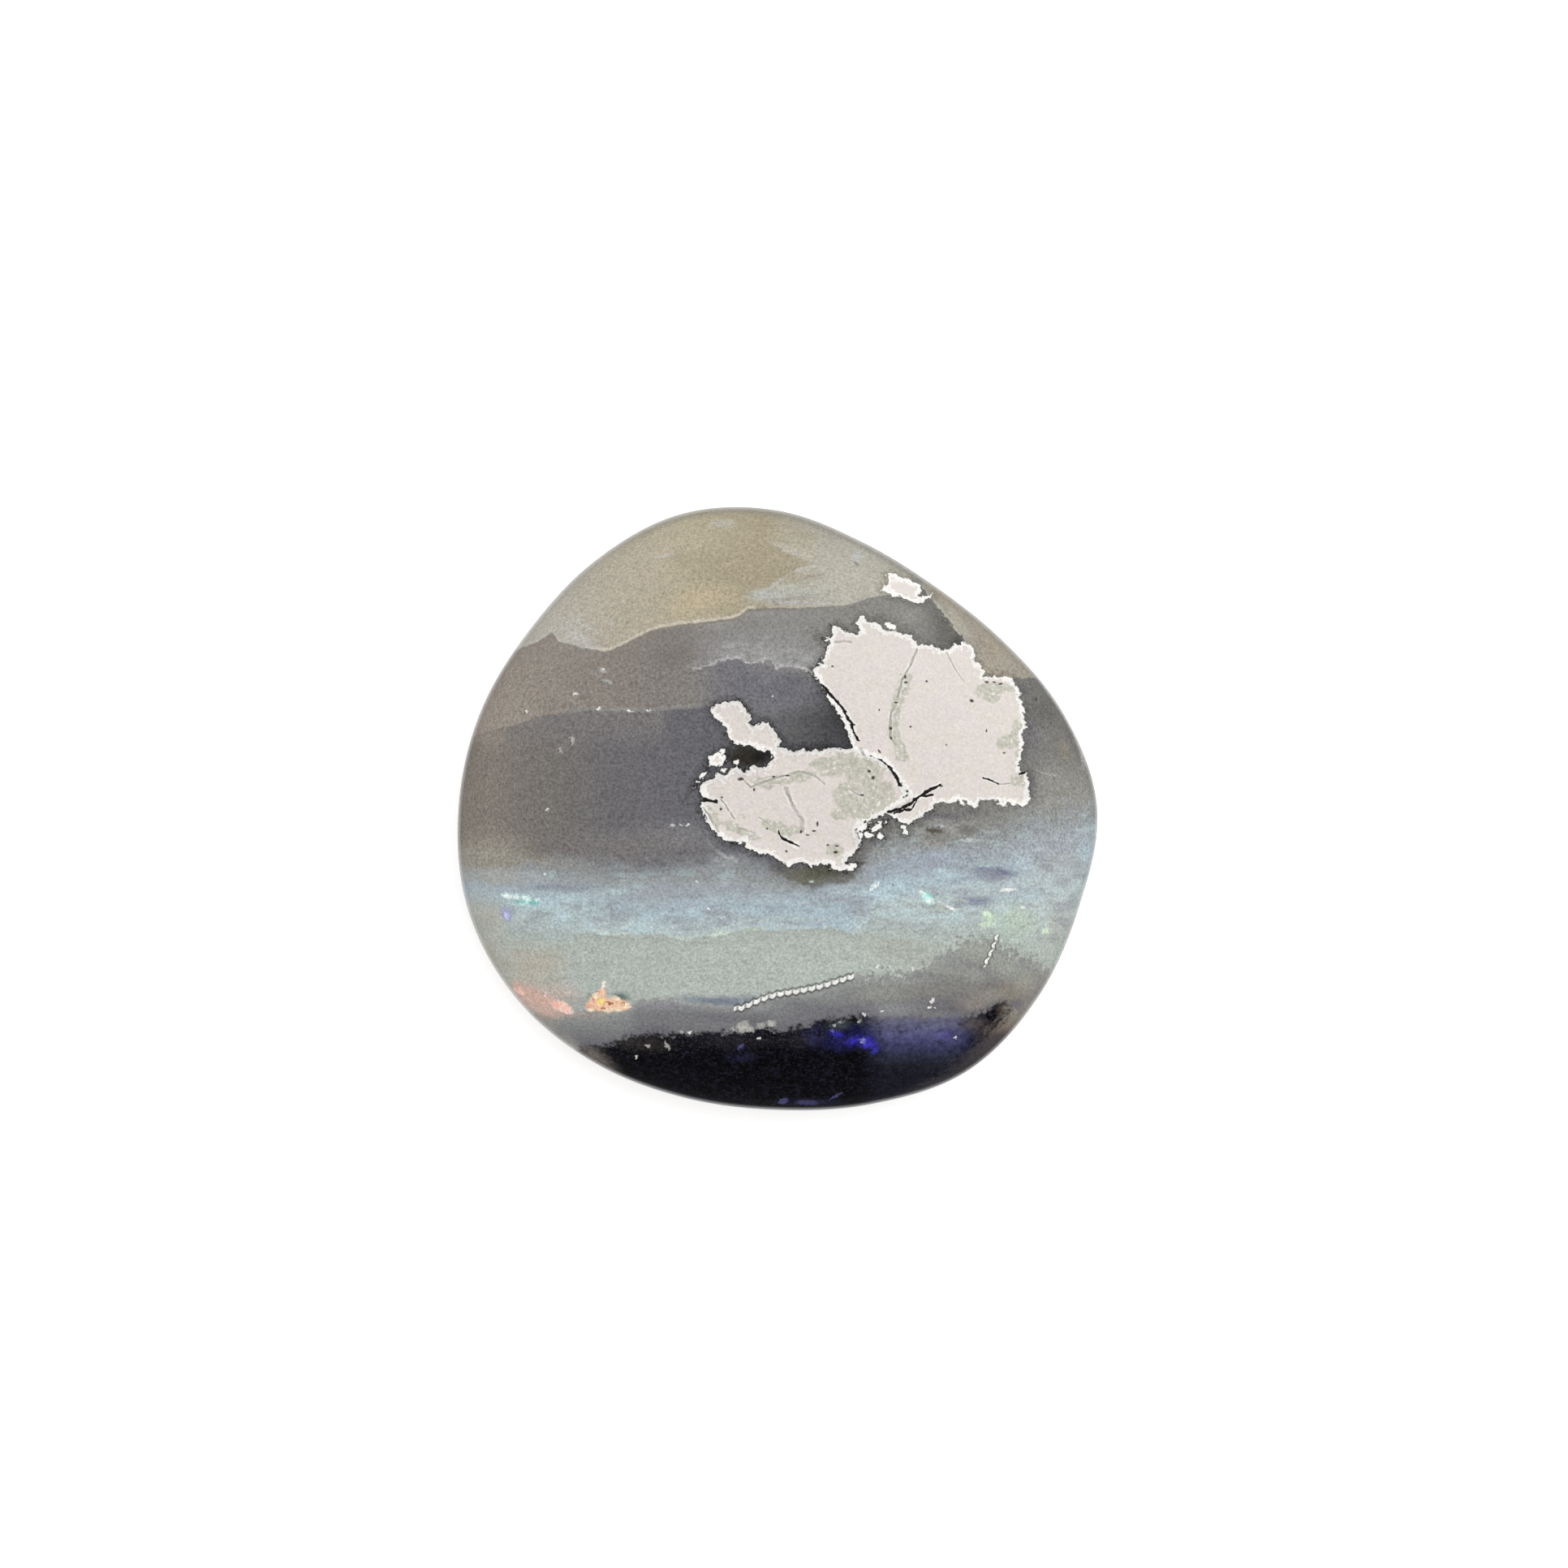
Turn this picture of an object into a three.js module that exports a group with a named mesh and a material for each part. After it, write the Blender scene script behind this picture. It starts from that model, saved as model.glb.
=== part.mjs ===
// A boulder opal: one free-form stone, polished by hand into a low dome, that lies on its flat ground back.
// Where the chalky white host rock comes out on the dome it is softer than the opal, so it has polished
// away to shallow hollows with a ledge round them. Millimetres, +Z up, the origin under the stone's middle.
import * as THREE from "three";
import { mergeVertices } from "three/addons/utils/BufferGeometryUtils.js";

// Driving dimensions.
// The girdle is the widest level. These radii run from the middle to it, evenly spaced from +X towards +Y.
const GIRDLE_RADII = [
  7.0, 6.6, 6.15, 5.95, 6.1, 6.5, 6.75, 6.7, 6.65, 6.8,
  6.95, 7.1, 7.05, 6.85, 6.65, 6.6, 6.8, 7.1, 7.05, 6.95,
];
const GIRDLE_HEIGHT = 1.5; // above the back
const DOME_HEIGHT = 3.3; // from the girdle to the crown
const DOME_FULLNESS = 2.35; // superellipse exponent: 2 is an ellipse, and more is flatter on top
const BACK_SHARE = 0.76; // how far the flat back reaches, as a share of the girdle radius
const CROWN_SHIFT = { x: -0.45, y: 0.3 }; // the crown lies off the middle, as on a stone cut by eye
const SWELL = { height: 0.07, acrossX: 0.62, acrossY: 0.55, turn: 0.8 }; // the polisher's unevenness

// Outlines of the host rock seen from above, as [x, y], each one going once round.
const HOST_ROCK = {
  mainPatch: [
    [0.78, 2.97], [1.12, 3.43], [1.19, 3.93], [1.68, 3.77], [1.86, 4.16], [2.39, 3.91], [2.89, 3.73],
    [3.07, 3.52], [3.6, 3.43], [4.08, 3.62], [4.32, 3.36], [4.54, 2.86], [5.14, 2.79], [5.3, 2.37],
    [5.42, 1.69], [5.35, 1.16], [5.48, 0.68], [5.48, 0.1], [4.98, 0.15], [3.86, 0.13], [3.38, 0.06],
    [2.8, -0.35], [2.36, -0.1], [2.71, 0.19], [2.62, 0.63], [2.27, 1.02], [1.86, 1.2], [1.61, 1.69],
    [1.24, 2.31],
  ],
  lowerPatch: [
    [1.75, 1.32], [0.94, 1.28], [0.0, 1.28], [-0.19, 0.91], [-0.64, 0.81], [-1.19, 0.72], [-1.61, 0.51],
    [-1.59, 0.01], [-1.36, -0.43], [-0.92, -0.72], [-0.39, -0.97], [0.23, -1.2], [1.29, -1.28],
    [1.75, -0.93], [1.7, -0.47], [2.45, -0.08], [2.75, 0.19], [2.66, 0.63], [2.27, 1.04], [1.86, 1.2],
  ],
  tongue: [
    [-1.47, 2.1], [-1.29, 2.26], [-0.85, 2.31], [-0.67, 2.15], [-0.53, 1.82], [-0.21, 1.83], [0.09, 1.43],
    [-0.07, 1.21], [-0.57, 1.36], [-0.92, 1.43], [-1.1, 1.69],
  ],
  topChip: [[2.36, 5.06], [2.68, 5.08], [3.24, 4.78], [3.14, 4.51], [2.68, 4.56], [2.32, 4.74]],
};
const HOLLOW_DEPTH = 0.14; // how far the host rock lies below the polish
const LEDGE = { outside: 0.1, inside: 0.2 }; // where the slope down to it starts and ends, from the outline

const CELLS = 25; // grid cells along each edge of the cube that the skin is mapped from
const MERGE_DISTANCE = 1e-4; // closer points along the cube's edges are one

const OPAL = { color: 0x8c8a8c, roughness: 0.15, metalness: 0 };

// The girdle's radius at an azimuth: a closed Catmull-Rom curve through GIRDLE_RADII.
function girdleRadius(azimuth) {
  const count = GIRDLE_RADII.length;
  const place = ((azimuth / (2 * Math.PI) + 1) % 1) * count;
  const index = Math.floor(place);
  const f = place - index;
  const [a, b, c, d] = [-1, 0, 1, 2].map((step) => GIRDLE_RADII[(index + step + count) % count]);
  return 0.5 * (2 * b + (c - a) * f + (2 * a - 5 * b + 4 * c - d) * f * f + (3 * b - a - 3 * c + d) * f ** 3);
}

// Distance from (x, y) to an outline, negative inside it.
function signedDistance(outline, x, y) {
  let nearest = Infinity;
  let inside = false;
  outline.forEach(([ax, ay], i) => {
    const [bx, by] = outline[(i + 1) % outline.length];
    const along = ((x - ax) * (bx - ax) + (y - ay) * (by - ay)) / ((bx - ax) ** 2 + (by - ay) ** 2);
    const t = THREE.MathUtils.clamp(along, 0, 1);
    nearest = Math.min(nearest, Math.hypot(x - ax - t * (bx - ax), y - ay - t * (by - ay)));
    if (ay > y !== by > y && x < ax + ((y - ay) * (bx - ax)) / (by - ay)) inside = !inside;
  });
  return inside ? -nearest : nearest;
}

// How far the skin lies below the polish at (x, y), where host rock has worn away.
function hollow(x, y) {
  const distance = Math.min(...Object.values(HOST_ROCK).map((outline) => signedDistance(outline, x, y)));
  return HOLLOW_DEPTH * THREE.MathUtils.smoothstep(-distance, -LEDGE.outside, LEDGE.inside);
}

// The dome, from the girdle (rise 0) to the crown (rise 1).
function domePoint(azimuth, rise) {
  const turn = (rise * Math.PI) / 2;
  const share = Math.cos(turn) ** (2 / DOME_FULLNESS);
  const lift = Math.sin(turn) ** (2 / DOME_FULLNESS);
  const radius = girdleRadius(azimuth) * share;
  const x = radius * Math.cos(azimuth) + CROWN_SHIFT.x * (1 - share);
  const y = radius * Math.sin(azimuth) + CROWN_SHIFT.y * (1 - share);
  const swell = Math.sin(SWELL.acrossX * x + SWELL.turn) * Math.cos(SWELL.acrossY * y - SWELL.turn);
  const z = GIRDLE_HEIGHT + DOME_HEIGHT * lift + (SWELL.height * swell - hollow(x, y)) * lift;
  return [x, y, z];
}

// The underside, from the girdle (drop 0) round a quarter ellipse to the flat back and its middle (drop 1).
function undersidePoint(azimuth, drop) {
  const turned = Math.min(drop / (1 - BACK_SHARE), 1);
  const angle = (turned * Math.PI) / 2;
  const share = turned < 1 ? BACK_SHARE + (1 - BACK_SHARE) * Math.cos(angle) : 1 - drop;
  const radius = girdleRadius(azimuth) * share;
  const z = turned < 1 ? GIRDLE_HEIGHT * (1 - Math.sin(angle)) : 0;
  return [radius * Math.cos(azimuth), radius * Math.sin(azimuth), z];
}

// The skin, mapped from a cube that is first swelled to a sphere, so that its quads stay even with no pole.
function stoneGeometry() {
  const cube = new THREE.BoxGeometry(2, 2, 2, CELLS, CELLS, CELLS);
  const position = cube.getAttribute("position");
  const direction = new THREE.Vector3();
  const spread = (u) => Math.tan((u * Math.PI) / 4);
  for (let i = 0; i < position.count; i++) {
    direction.set(spread(position.getX(i)), spread(position.getY(i)), spread(position.getZ(i))).normalize();
    const azimuth = Math.atan2(direction.y, direction.x);
    const rise = Math.asin(THREE.MathUtils.clamp(direction.z, -1, 1)) / (Math.PI / 2);
    const point = rise >= 0 ? domePoint(azimuth, rise) : undersidePoint(azimuth, -rise);
    position.setXYZ(i, ...point);
  }
  cube.deleteAttribute("normal");
  cube.deleteAttribute("uv");
  const skin = mergeVertices(cube, MERGE_DISTANCE);
  skin.computeVertexNormals();
  return skin;
}

const stone = new THREE.Mesh(stoneGeometry(), new THREE.MeshStandardMaterial(OPAL));
stone.name = "boulder_opal";

const part = new THREE.Group();
part.add(stone);
export default part;
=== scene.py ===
"""The looks of the boulder opal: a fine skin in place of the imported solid, its material and a pale studio.

Places and sizes are in millimetres unless they say otherwise, in the part's frame: seen from above, +X is
right and +Y is up.
"""
import functools
import math

import bpy
import numpy as np
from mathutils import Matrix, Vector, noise


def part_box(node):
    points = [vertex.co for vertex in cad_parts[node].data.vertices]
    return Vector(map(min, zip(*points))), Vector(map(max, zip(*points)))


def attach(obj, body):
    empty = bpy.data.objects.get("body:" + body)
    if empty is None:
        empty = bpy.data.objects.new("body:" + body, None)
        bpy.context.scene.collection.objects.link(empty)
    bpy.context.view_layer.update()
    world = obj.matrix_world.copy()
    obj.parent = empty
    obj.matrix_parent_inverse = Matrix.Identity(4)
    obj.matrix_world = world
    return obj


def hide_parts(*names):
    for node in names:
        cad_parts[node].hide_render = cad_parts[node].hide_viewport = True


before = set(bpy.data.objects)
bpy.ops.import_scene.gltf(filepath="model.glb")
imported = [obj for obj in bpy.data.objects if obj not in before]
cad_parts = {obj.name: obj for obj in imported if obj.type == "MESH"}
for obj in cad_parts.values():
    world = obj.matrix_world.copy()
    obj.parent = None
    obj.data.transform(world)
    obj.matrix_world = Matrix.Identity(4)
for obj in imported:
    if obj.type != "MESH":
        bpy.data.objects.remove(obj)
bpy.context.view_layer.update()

MM = 0.001

# The stone's form, as the part's source has it, but with a narrower ledge round the host rock.
GIRDLE_RADII = [
    7.0, 6.6, 6.15, 5.95, 6.1, 6.5, 6.75, 6.7, 6.65, 6.8,
    6.95, 7.1, 7.05, 6.85, 6.65, 6.6, 6.8, 7.1, 7.05, 6.95,
]  # from the middle to the girdle, evenly spaced from +X towards +Y
GIRDLE_HEIGHT = 1.5
DOME_HEIGHT = 3.3
DOME_FULLNESS = 2.35  # superellipse exponent
BACK_SHARE = 0.76  # the flat back's radius as a share of the girdle's
CROWN_SHIFT = (-0.45, 0.3)
SWELL = {"height": 0.07, "across_x": 0.62, "across_y": 0.55, "turn": 0.8}
HOLLOW_DEPTH = 0.14  # of the host rock below the polish
LEDGE_OUTSIDE, LEDGE_INSIDE = 0.06, 0.12  # where the slope down to it starts and ends

# The skin's grid.
DOME_RINGS = 128  # square rings of cells from the crown out to DOME_EDGE
DOME_EDGE = 0.93  # of the girdle radius
FLANK_ROWS = 14  # from there down to the girdle
UNDER_ROWS = 12  # from the girdle in to the flat back

# Outlines of the host rock, finer than the part's source has them, each one going once round.
HOST_ROCK = {
    "main patch": [
        (0.78, 2.99), (0.87, 3.06), (0.99, 3.09), (0.96, 3.18), (1.05, 3.34), (1.13, 3.48), (1.17, 3.62),
        (1.06, 3.66), (1.19, 3.73), (1.22, 3.82), (1.19, 3.91), (1.28, 3.94), (1.42, 3.89), (1.56, 3.8),
        (1.7, 3.77), (1.84, 3.82), (1.79, 3.93), (1.72, 4.01), (1.79, 4.1), (1.88, 4.16), (1.97, 4.07),
        (2.13, 4.01), (2.25, 3.96), (2.3, 3.87), (2.45, 3.84), (2.61, 3.85), (2.75, 3.77), (2.89, 3.75),
        (2.96, 3.64), (3.08, 3.52), (3.24, 3.55), (3.42, 3.5), (3.6, 3.43), (3.74, 3.46), (3.86, 3.54),
        (3.99, 3.52), (4.04, 3.62), (4.15, 3.59), (4.27, 3.48), (4.31, 3.36), (4.29, 3.22), (4.41, 3.11),
        (4.52, 2.95), (4.48, 2.86), (4.7, 2.86), (4.94, 2.86), (5.12, 2.81), (5.19, 2.65), (5.3, 2.51),
        (5.32, 2.31), (5.39, 2.08), (5.37, 1.92), (5.44, 1.75), (5.33, 1.62), (5.35, 1.37), (5.33, 1.16),
        (5.26, 1.02), (5.3, 0.81), (5.42, 0.79), (5.48, 0.59), (5.46, 0.4), (5.51, 0.17), (5.35, 0.06),
        (5.19, 0.06), (5.02, 0.13), (4.89, 0.03), (4.8, 0.17), (4.66, 0.17), (4.41, 0.17), (4.29, 0.03),
        (4.13, 0.13), (3.92, 0.19), (3.77, 0.1), (3.56, 0.12), (3.4, 0.1), (3.38, -0.03), (3.21, -0.1),
        (3.07, -0.24), (2.85, -0.35), (2.64, -0.26), (2.39, -0.1), (2.55, 0.06), (2.75, 0.19), (2.89, 0.29),
        (2.75, 0.49), (2.66, 0.63), (2.53, 0.82), (2.36, 0.98), (2.18, 1.09), (2, 1.14), (1.79, 1.2),
        (1.65, 1.34), (1.58, 1.55), (1.51, 1.75), (1.44, 1.91), (1.33, 2.06), (1.22, 2.26), (1.06, 2.51),
        (0.94, 2.72),
    ],
    "lower patch and tongue": [
        (1.79, 1.2), (1.67, 1.32), (1.51, 1.27), (1.29, 1.28), (1.08, 1.32), (0.94, 1.23), (0.82, 1.27),
        (0.69, 1.2), (0.57, 1.28), (0.46, 1.21), (0.23, 1.25), (0.02, 1.32), (0.11, 1.44), (-0.02, 1.57),
        (-0.12, 1.75), (-0.19, 1.83), (-0.34, 1.83), (-0.48, 1.75), (-0.6, 1.85), (-0.55, 1.94),
        (-0.64, 2.1), (-0.74, 2.26), (-0.85, 2.31), (-1.08, 2.29), (-1.33, 2.24), (-1.45, 2.15),
        (-1.36, 2.01), (-1.21, 1.85), (-1.06, 1.73), (-1.08, 1.59), (-0.96, 1.44), (-0.8, 1.37),
        (-0.57, 1.37), (-0.37, 1.27), (-0.14, 1.23), (-0.07, 1.13), (-0.16, 0.95), (-0.27, 0.84),
        (-0.48, 0.93), (-0.58, 0.91), (-0.55, 0.79), (-0.74, 0.79), (-0.87, 0.89), (-1.01, 0.79),
        (-1.15, 0.65), (-1.26, 0.74), (-1.4, 0.61), (-1.61, 0.56), (-1.65, 0.38), (-1.56, 0.2),
        (-1.63, 0.08), (-1.58, -0.13), (-1.44, -0.38), (-1.26, -0.59), (-1.01, -0.72), (-0.8, -0.77),
        (-0.69, -0.7), (-0.62, -0.88), (-0.34, -0.98), (-0.18, -0.97), (-0.02, -1.09), (0.16, -1.2),
        (0.37, -1.18), (0.58, -1.18), (0.76, -1.25), (0.97, -1.21), (1.17, -1.21), (1.24, -1.34),
        (1.47, -1.36), (1.49, -1.18), (1.52, -1.04), (1.72, -0.95), (1.81, -0.79), (1.75, -0.59),
        (1.68, -0.49), (1.79, -0.35), (2, -0.27), (2.27, -0.15), (2.39, -0.1), (2.64, 0.1), (2.82, 0.31),
        (2.66, 0.63), (2.5, 0.84), (2.27, 1.02), (2, 1.13),
    ],
    "top chip": [
        (2.4, 5.08), (2.5, 5.11), (2.6, 5.07), (2.73, 5.02), (2.87, 4.99), (3, 4.92), (3.11, 4.85),
        (3.16, 4.76), (3.1, 4.67), (3.12, 4.6), (3.27, 4.61), (3.39, 4.64), (3.36, 4.59), (3.25, 4.54),
        (3.15, 4.46), (2.98, 4.48), (2.86, 4.51), (2.75, 4.56), (2.64, 4.6), (2.55, 4.61), (2.46, 4.68),
        (2.37, 4.71), (2.3, 4.73), (2.33, 4.82), (2.42, 4.87), (2.44, 4.96),
    ],
}

# Seams between the stone's layers: the Y of each at some places in X.
OLIVE_SEAM = [
    (-6.33, 3.2), (-5.62, 3.46), (-5.26, 3.59), (-5.03, 3.71), (-4.89, 3.82), (-4.73, 3.61), (-4.47, 3.55),
    (-4.2, 3.48), (-3.7, 3.39), (-3.35, 3.52), (-3.05, 3.69), (-2.78, 3.82), (-2.43, 3.93), (-2.07, 3.98),
    (-1.54, 4.03), (-1.01, 4.1), (-0.8, 4.17), (-0.62, 4.32), (-0.3, 4.33), (0.76, 4.35), (1.47, 4.4),
    (1.74, 4.46), (2, 4.56), (2.36, 4.62), (2.71, 4.65), (3.3, 4.9),
]
UMBER_SEAM = [
    (-6.77, 1.52), (-6.47, 1.6), (-5.97, 1.75), (-5.92, 1.73), (-5.44, 1.89), (-5.09, 2.01), (-4.55, 2.06),
    (-4.02, 2.12), (-3.49, 2.1), (-2.78, 2.08), (-2.25, 2.15), (-1.51, 2.19),
]
VEIL_SEAM = [
    (-1.72, 3), (-1.36, 3.11), (-1.19, 3.2), (-0.83, 3.25), (-0.57, 3.11), (-0.39, 3.16), (-0.18, 3.22),
    (0, 3.02), (0.23, 3.07), (0.5, 3.04), (0.82, 2.9), (1.12, 2.67),
]
SKY_SEAM = [
    (-6.95, -1), (-6.33, -1.1), (-5.62, -1.2), (-5.02, -1.3), (-4.36, -1.42), (-3.67, -1.5), (-2.39, -1.5),
    (-1.08, -1.39), (0.05, -1.6), (0.89, -1.85), (1.54, -1.72), (1.9, -1.3), (2.2, -1), (2.85, -0.79),
    (3.51, -0.79), (4.16, -0.68), (4.82, -0.68), (5.48, -0.43), (6.13, -0.29), (6.88, -0.15),
]
SEA_SEAM = [
    (-6.68, -2.56), (-5.62, -2.67), (-4.91, -2.74), (-4.02, -2.7), (-3.49, -2.77), (-2.78, -2.74),
    (-2.32, -2.79), (-1.93, -2.88), (-1.54, -2.76), (-1.05, -2.7), (-0.3, -2.64), (0.58, -2.64),
    (1.12, -2.6), (1.47, -2.66), (1.75, -2.77), (2.09, -2.53), (2.53, -2.56), (3.24, -2.67), (3.95, -2.61),
    (4.57, -2.56), (5.37, -2.74), (6.79, -2.92),
]
SLATE_SEAM = [
    (-6.33, -4.35), (-5.62, -4.42), (-4.91, -4.43), (-4.29, -4.41), (-3.35, -4.39), (-3.19, -4.32),
    (-3.05, -4.2), (-2.91, -4.1), (-2.79, -4.17), (-2.66, -4.07), (-2.48, -4.13), (-2.3, -4.09),
    (-2.07, -4.2), (-1.54, -4.24), (-1.01, -4.3), (-0.57, -4.26), (-0.12, -4.08), (0.5, -3.94),
    (0.94, -3.85), (1.29, -3.75), (1.65, -3.62), (2.22, -3.57), (2.75, -3.57), (3.17, -3.45), (3.4, -3.32),
    (3.67, -3.11), (3.95, -2.97), (4.16, -2.86), (4.5, -2.77), (4.82, -2.86), (5.09, -3.06), (5.49, -3.2),
    (5.88, -3.45), (6.43, -3.69),
]
BLACK_SEAM = [
    (-4.55, -5.4), (-4.2, -5.18), (-3.79, -5.17), (-3.51, -5.08), (-3.19, -4.95), (-2.87, -4.88),
    (-2.37, -4.9), (-1.97, -4.9), (-1.56, -4.85), (-1.17, -4.85), (-0.76, -4.83), (-0.55, -4.81),
    (-0.23, -4.78), (0.07, -4.83), (0.43, -4.76), (0.62, -4.76), (0.89, -4.63), (1.12, -4.56),
    (1.35, -4.58), (1.58, -4.51), (1.9, -4.51), (2.25, -4.55), (2.89, -4.51), (3.4, -4.53), (4.08, -4.51),
    (4.36, -4.49), (4.57, -4.4), (4.77, -4.26), (4.94, -4.17), (5.09, -4.24), (5.19, -4.4), (5.41, -4.51),
    (5.64, -4.72),
]

# Colours as a screen shows them: red, green and blue out of 255.
COLOURS = {
    "pale olive": (183, 179, 168), "soft olive": (180, 172, 156), "olive": (181, 172, 149),
    "deep olive": (168, 158, 135), "dry olive": (178, 175, 162), "amber": (190, 176, 149),
    "pale veil": (189, 186, 179), "seam shade": (166, 163, 156), "olive light": (192, 184, 163),
    "wedge olive": (163, 156, 143), "wedge rust": (172, 161, 143), "flint": (124, 123, 120),
    "dark flint": (100, 99, 94), "tan grey": (156, 147, 137), "umber": (147, 139, 130),
    "brown grey": (134, 129, 124), "brown shade": (126, 121, 115), "dove": (143, 142, 139),
    "stone": (136, 135, 130), "dark grey": (119, 118, 115), "cloud": (150, 149, 146),
    "violet veil": (152, 150, 153), "dusk": (112, 111, 119), "ink": (72, 71, 73), "peat": (52, 48, 42),
    "moss": (156, 151, 139), "moss dark": (114, 115, 102), "peat moss": (98, 97, 84),
    "warm stone": (136, 129, 120), "plum": (112, 110, 113), "deep plum": (105, 104, 109),
    "lit plum": (128, 124, 123), "ash plum": (152, 155, 156), "ash violet": (136, 136, 138),
    "lichen grey": (134, 133, 128), "stone grey": (139, 138, 133), "light grey": (153, 152, 147),
    "khaki grey": (166, 166, 161), "lilac grey": (112, 112, 128), "lavender grey": (157, 162, 169),
    "fog": (150, 153, 152), "sky grey": (164, 171, 176), "sky": (171, 185, 193),
    "stone blue": (170, 173, 175), "aqua": (185, 198, 198), "cyan": (175, 193, 202),
    "pale cyan": (196, 220, 226), "lavender": (163, 173, 186), "lilac": (102, 102, 134),
    "mint": (188, 200, 186), "sea": (183, 190, 184), "sea light": (180, 189, 182),
    "sea shade": (173, 179, 172), "khaki": (182, 178, 165), "sea khaki": (174, 177, 166),
    "blue haze": (126, 134, 148), "slate light": (160, 162, 159), "slate": (140, 142, 141),
    "pale slate": (163, 165, 158), "teal": (106, 124, 124), "slate dark": (117, 116, 121),
    "rusty grey": (142, 136, 123), "rim tan": (160, 156, 146), "black": (5, 5, 8), "night": (24, 24, 36),
    "night grey": (38, 36, 40), "dark teal": (68, 78, 84), "dark indigo": (40, 40, 70),
    "deep violet": (84, 75, 142), "mauve brown": (101, 91, 86), "mauve grey": (66, 62, 58),
    "rim brown": (118, 111, 103), "foot grey": (60, 57, 61), "foot brown": (84, 77, 79),
    "foot tan": (136, 126, 114), "rust shade": (82, 73, 62), "flash blue": (62, 54, 190),
    "flash dusk": (84, 82, 130), "flash violet": (160, 160, 216), "chunk": (204, 240, 236),
    "teal flash": (128, 200, 194), "green flash": (214, 234, 208), "green haze": (190, 208, 190),
    "green white": (204, 218, 206), "cloud light": (162, 158, 150), "ash light": (186, 191, 189),
    "white": (248, 247, 244), "orange": (250, 204, 172), "burnt": (150, 108, 74), "coral": (255, 214, 198),
    "red flash": (255, 190, 170), "rose": (226, 184, 168), "rose white": (238, 220, 212),
    # The whitest chalk colour is for white bits in the host rock's stains and for painted highlights on the
    # host rock.
    "rose haze": (216, 184, 170), "chalk": (229, 222, 214), "chalk white and painted highlight": (252, 250, 246),
    # The fold colour is painted shade in the host rock's folds.
    "stain": (207, 204, 192), "fold shade": (138, 132, 118), "crack": (30, 27, 25), "shadow": (38, 37, 37),
    # The outline colour is used for the painted shade round the host rock.
    "facet olive": (163, 153, 129), "hem light": (182, 180, 180), "outline": (20, 19, 18),
    "rim olive": (150, 150, 139), "veil blue": (186, 189, 184), "seam line": (104, 101, 97),
    "pale strip": (167, 165, 160), "stem": (250, 238, 226), "tan orange": (230, 176, 150),
    "green shadow": (100, 116, 110), "oval": (96, 90, 78), "pink chalk": (230, 221, 217),
    "lavender slate": (146, 143, 152), "hem olive": (206, 198, 182), "pebble": (255, 232, 204),
    "sunlit": (255, 228, 140), "dust": (62, 60, 70), "bright cyan": (190, 208, 214),
    "warm khaki": (194, 185, 170), "deep indigo": (34, 34, 92), "dusk violet": (84, 84, 124),
    "dusk slate": (60, 62, 96), "night slate": (46, 48, 66), "night blue": (32, 33, 44),
    "pink haze": (216, 174, 160), "pale ash": (170, 171, 168), "ash khaki": (164, 159, 148),
    "rose grey": (172, 157, 148), "violet white": (205, 205, 246), "mint flake": (158, 228, 218),
    "ironstone": (96, 76, 60), "dark ironstone": (58, 49, 43), "rust": (134, 90, 54),
}

# Colours across a layer, each at its place in mm.
OLIVE_ACROSS = [
    (-5, "pale olive"), (-3.5, "soft olive"), (-2, "olive"), (-0.3, "deep olive"), (1, "dry olive"),
    (2.2, "dry olive"),
]
BROWN_ACROSS = [
    (-6.3, "tan grey"), (-5, "umber"), (-2.4, "brown grey"), (0.2, "dove"), (1.8, "stone"), (3, "stone"),
    (3.6, "dark grey"),
]
PLUM_ACROSS = [
    (-6.8, "warm stone"), (-5.5, "brown shade"), (-3.5, "plum"), (-1, "deep plum"), (1, "plum"),
    (3, "lichen grey"), (5.5, "stone grey"), (6.8, "light grey"),
]
EAST_DOWN = [(0.1, "light grey"), (0.75, "stone grey"), (1.2, "flint"), (2.8, "dark grey")]
EAST_STRIP = [(0.98, 6.65), (1.25, 6.59), (1.69, 6.43), (2.22, 6.11), (2.79, 5.71)]  # X at each Y
SKY_DEPTHS = [(0, "fog"), (0.3, "sky grey"), (0.7, "sky"), (1.2, "aqua")]
SEA_DEPTHS = [(0, "sea shade"), (0.2, "sea light"), (0.8, "sea")]
SLATE_DEPTHS = [(0, "slate light"), (0.3, "slate"), (0.7, "slate dark"), (1.2, "plum")]

# The darker facet of the olive layer: the Y of its upper and lower edge at each X.
FACET_TOP = [(-1.7, 6.2), (-0.25, 5.76), (0.84, 5.27)]
FACET_FOOT = [(-2.2, 5.05), (-0.8, 4.88), (-0.12, 4.87), (0.14, 4.93), (0.32, 5.1), (0.84, 5.27)]

# The foot's right edge: X at each Y, and the colours along it.
EAST_FOOT = [
    (-6.39, 2.1), (-6.23, 2.8), (-6, 3.2), (-5.82, 3.6), (-5.6, 3.9), (-5.4, 4.1), (-5.18, 4.35),
    (-4.97, 4.5), (-4.75, 4.8), (-4.4, 5.1),
]
EAST_FOOT_DOWN = [(-5.7, "foot grey"), (-4.95, "foot brown"), (-4.75, "foot tan"), (-4.4, "rim tan")]

# The colours of the foot's violet part at each Y.
VIOLET_DOWN = [
    (-5.85, "night"), (-5.6, "night blue"), (-5.4, "night slate"), (-5.18, "dusk slate"),
    (-4.97, "dusk violet"), (-4.76, "lilac"), (-4.5, "lilac grey"),
]

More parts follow.
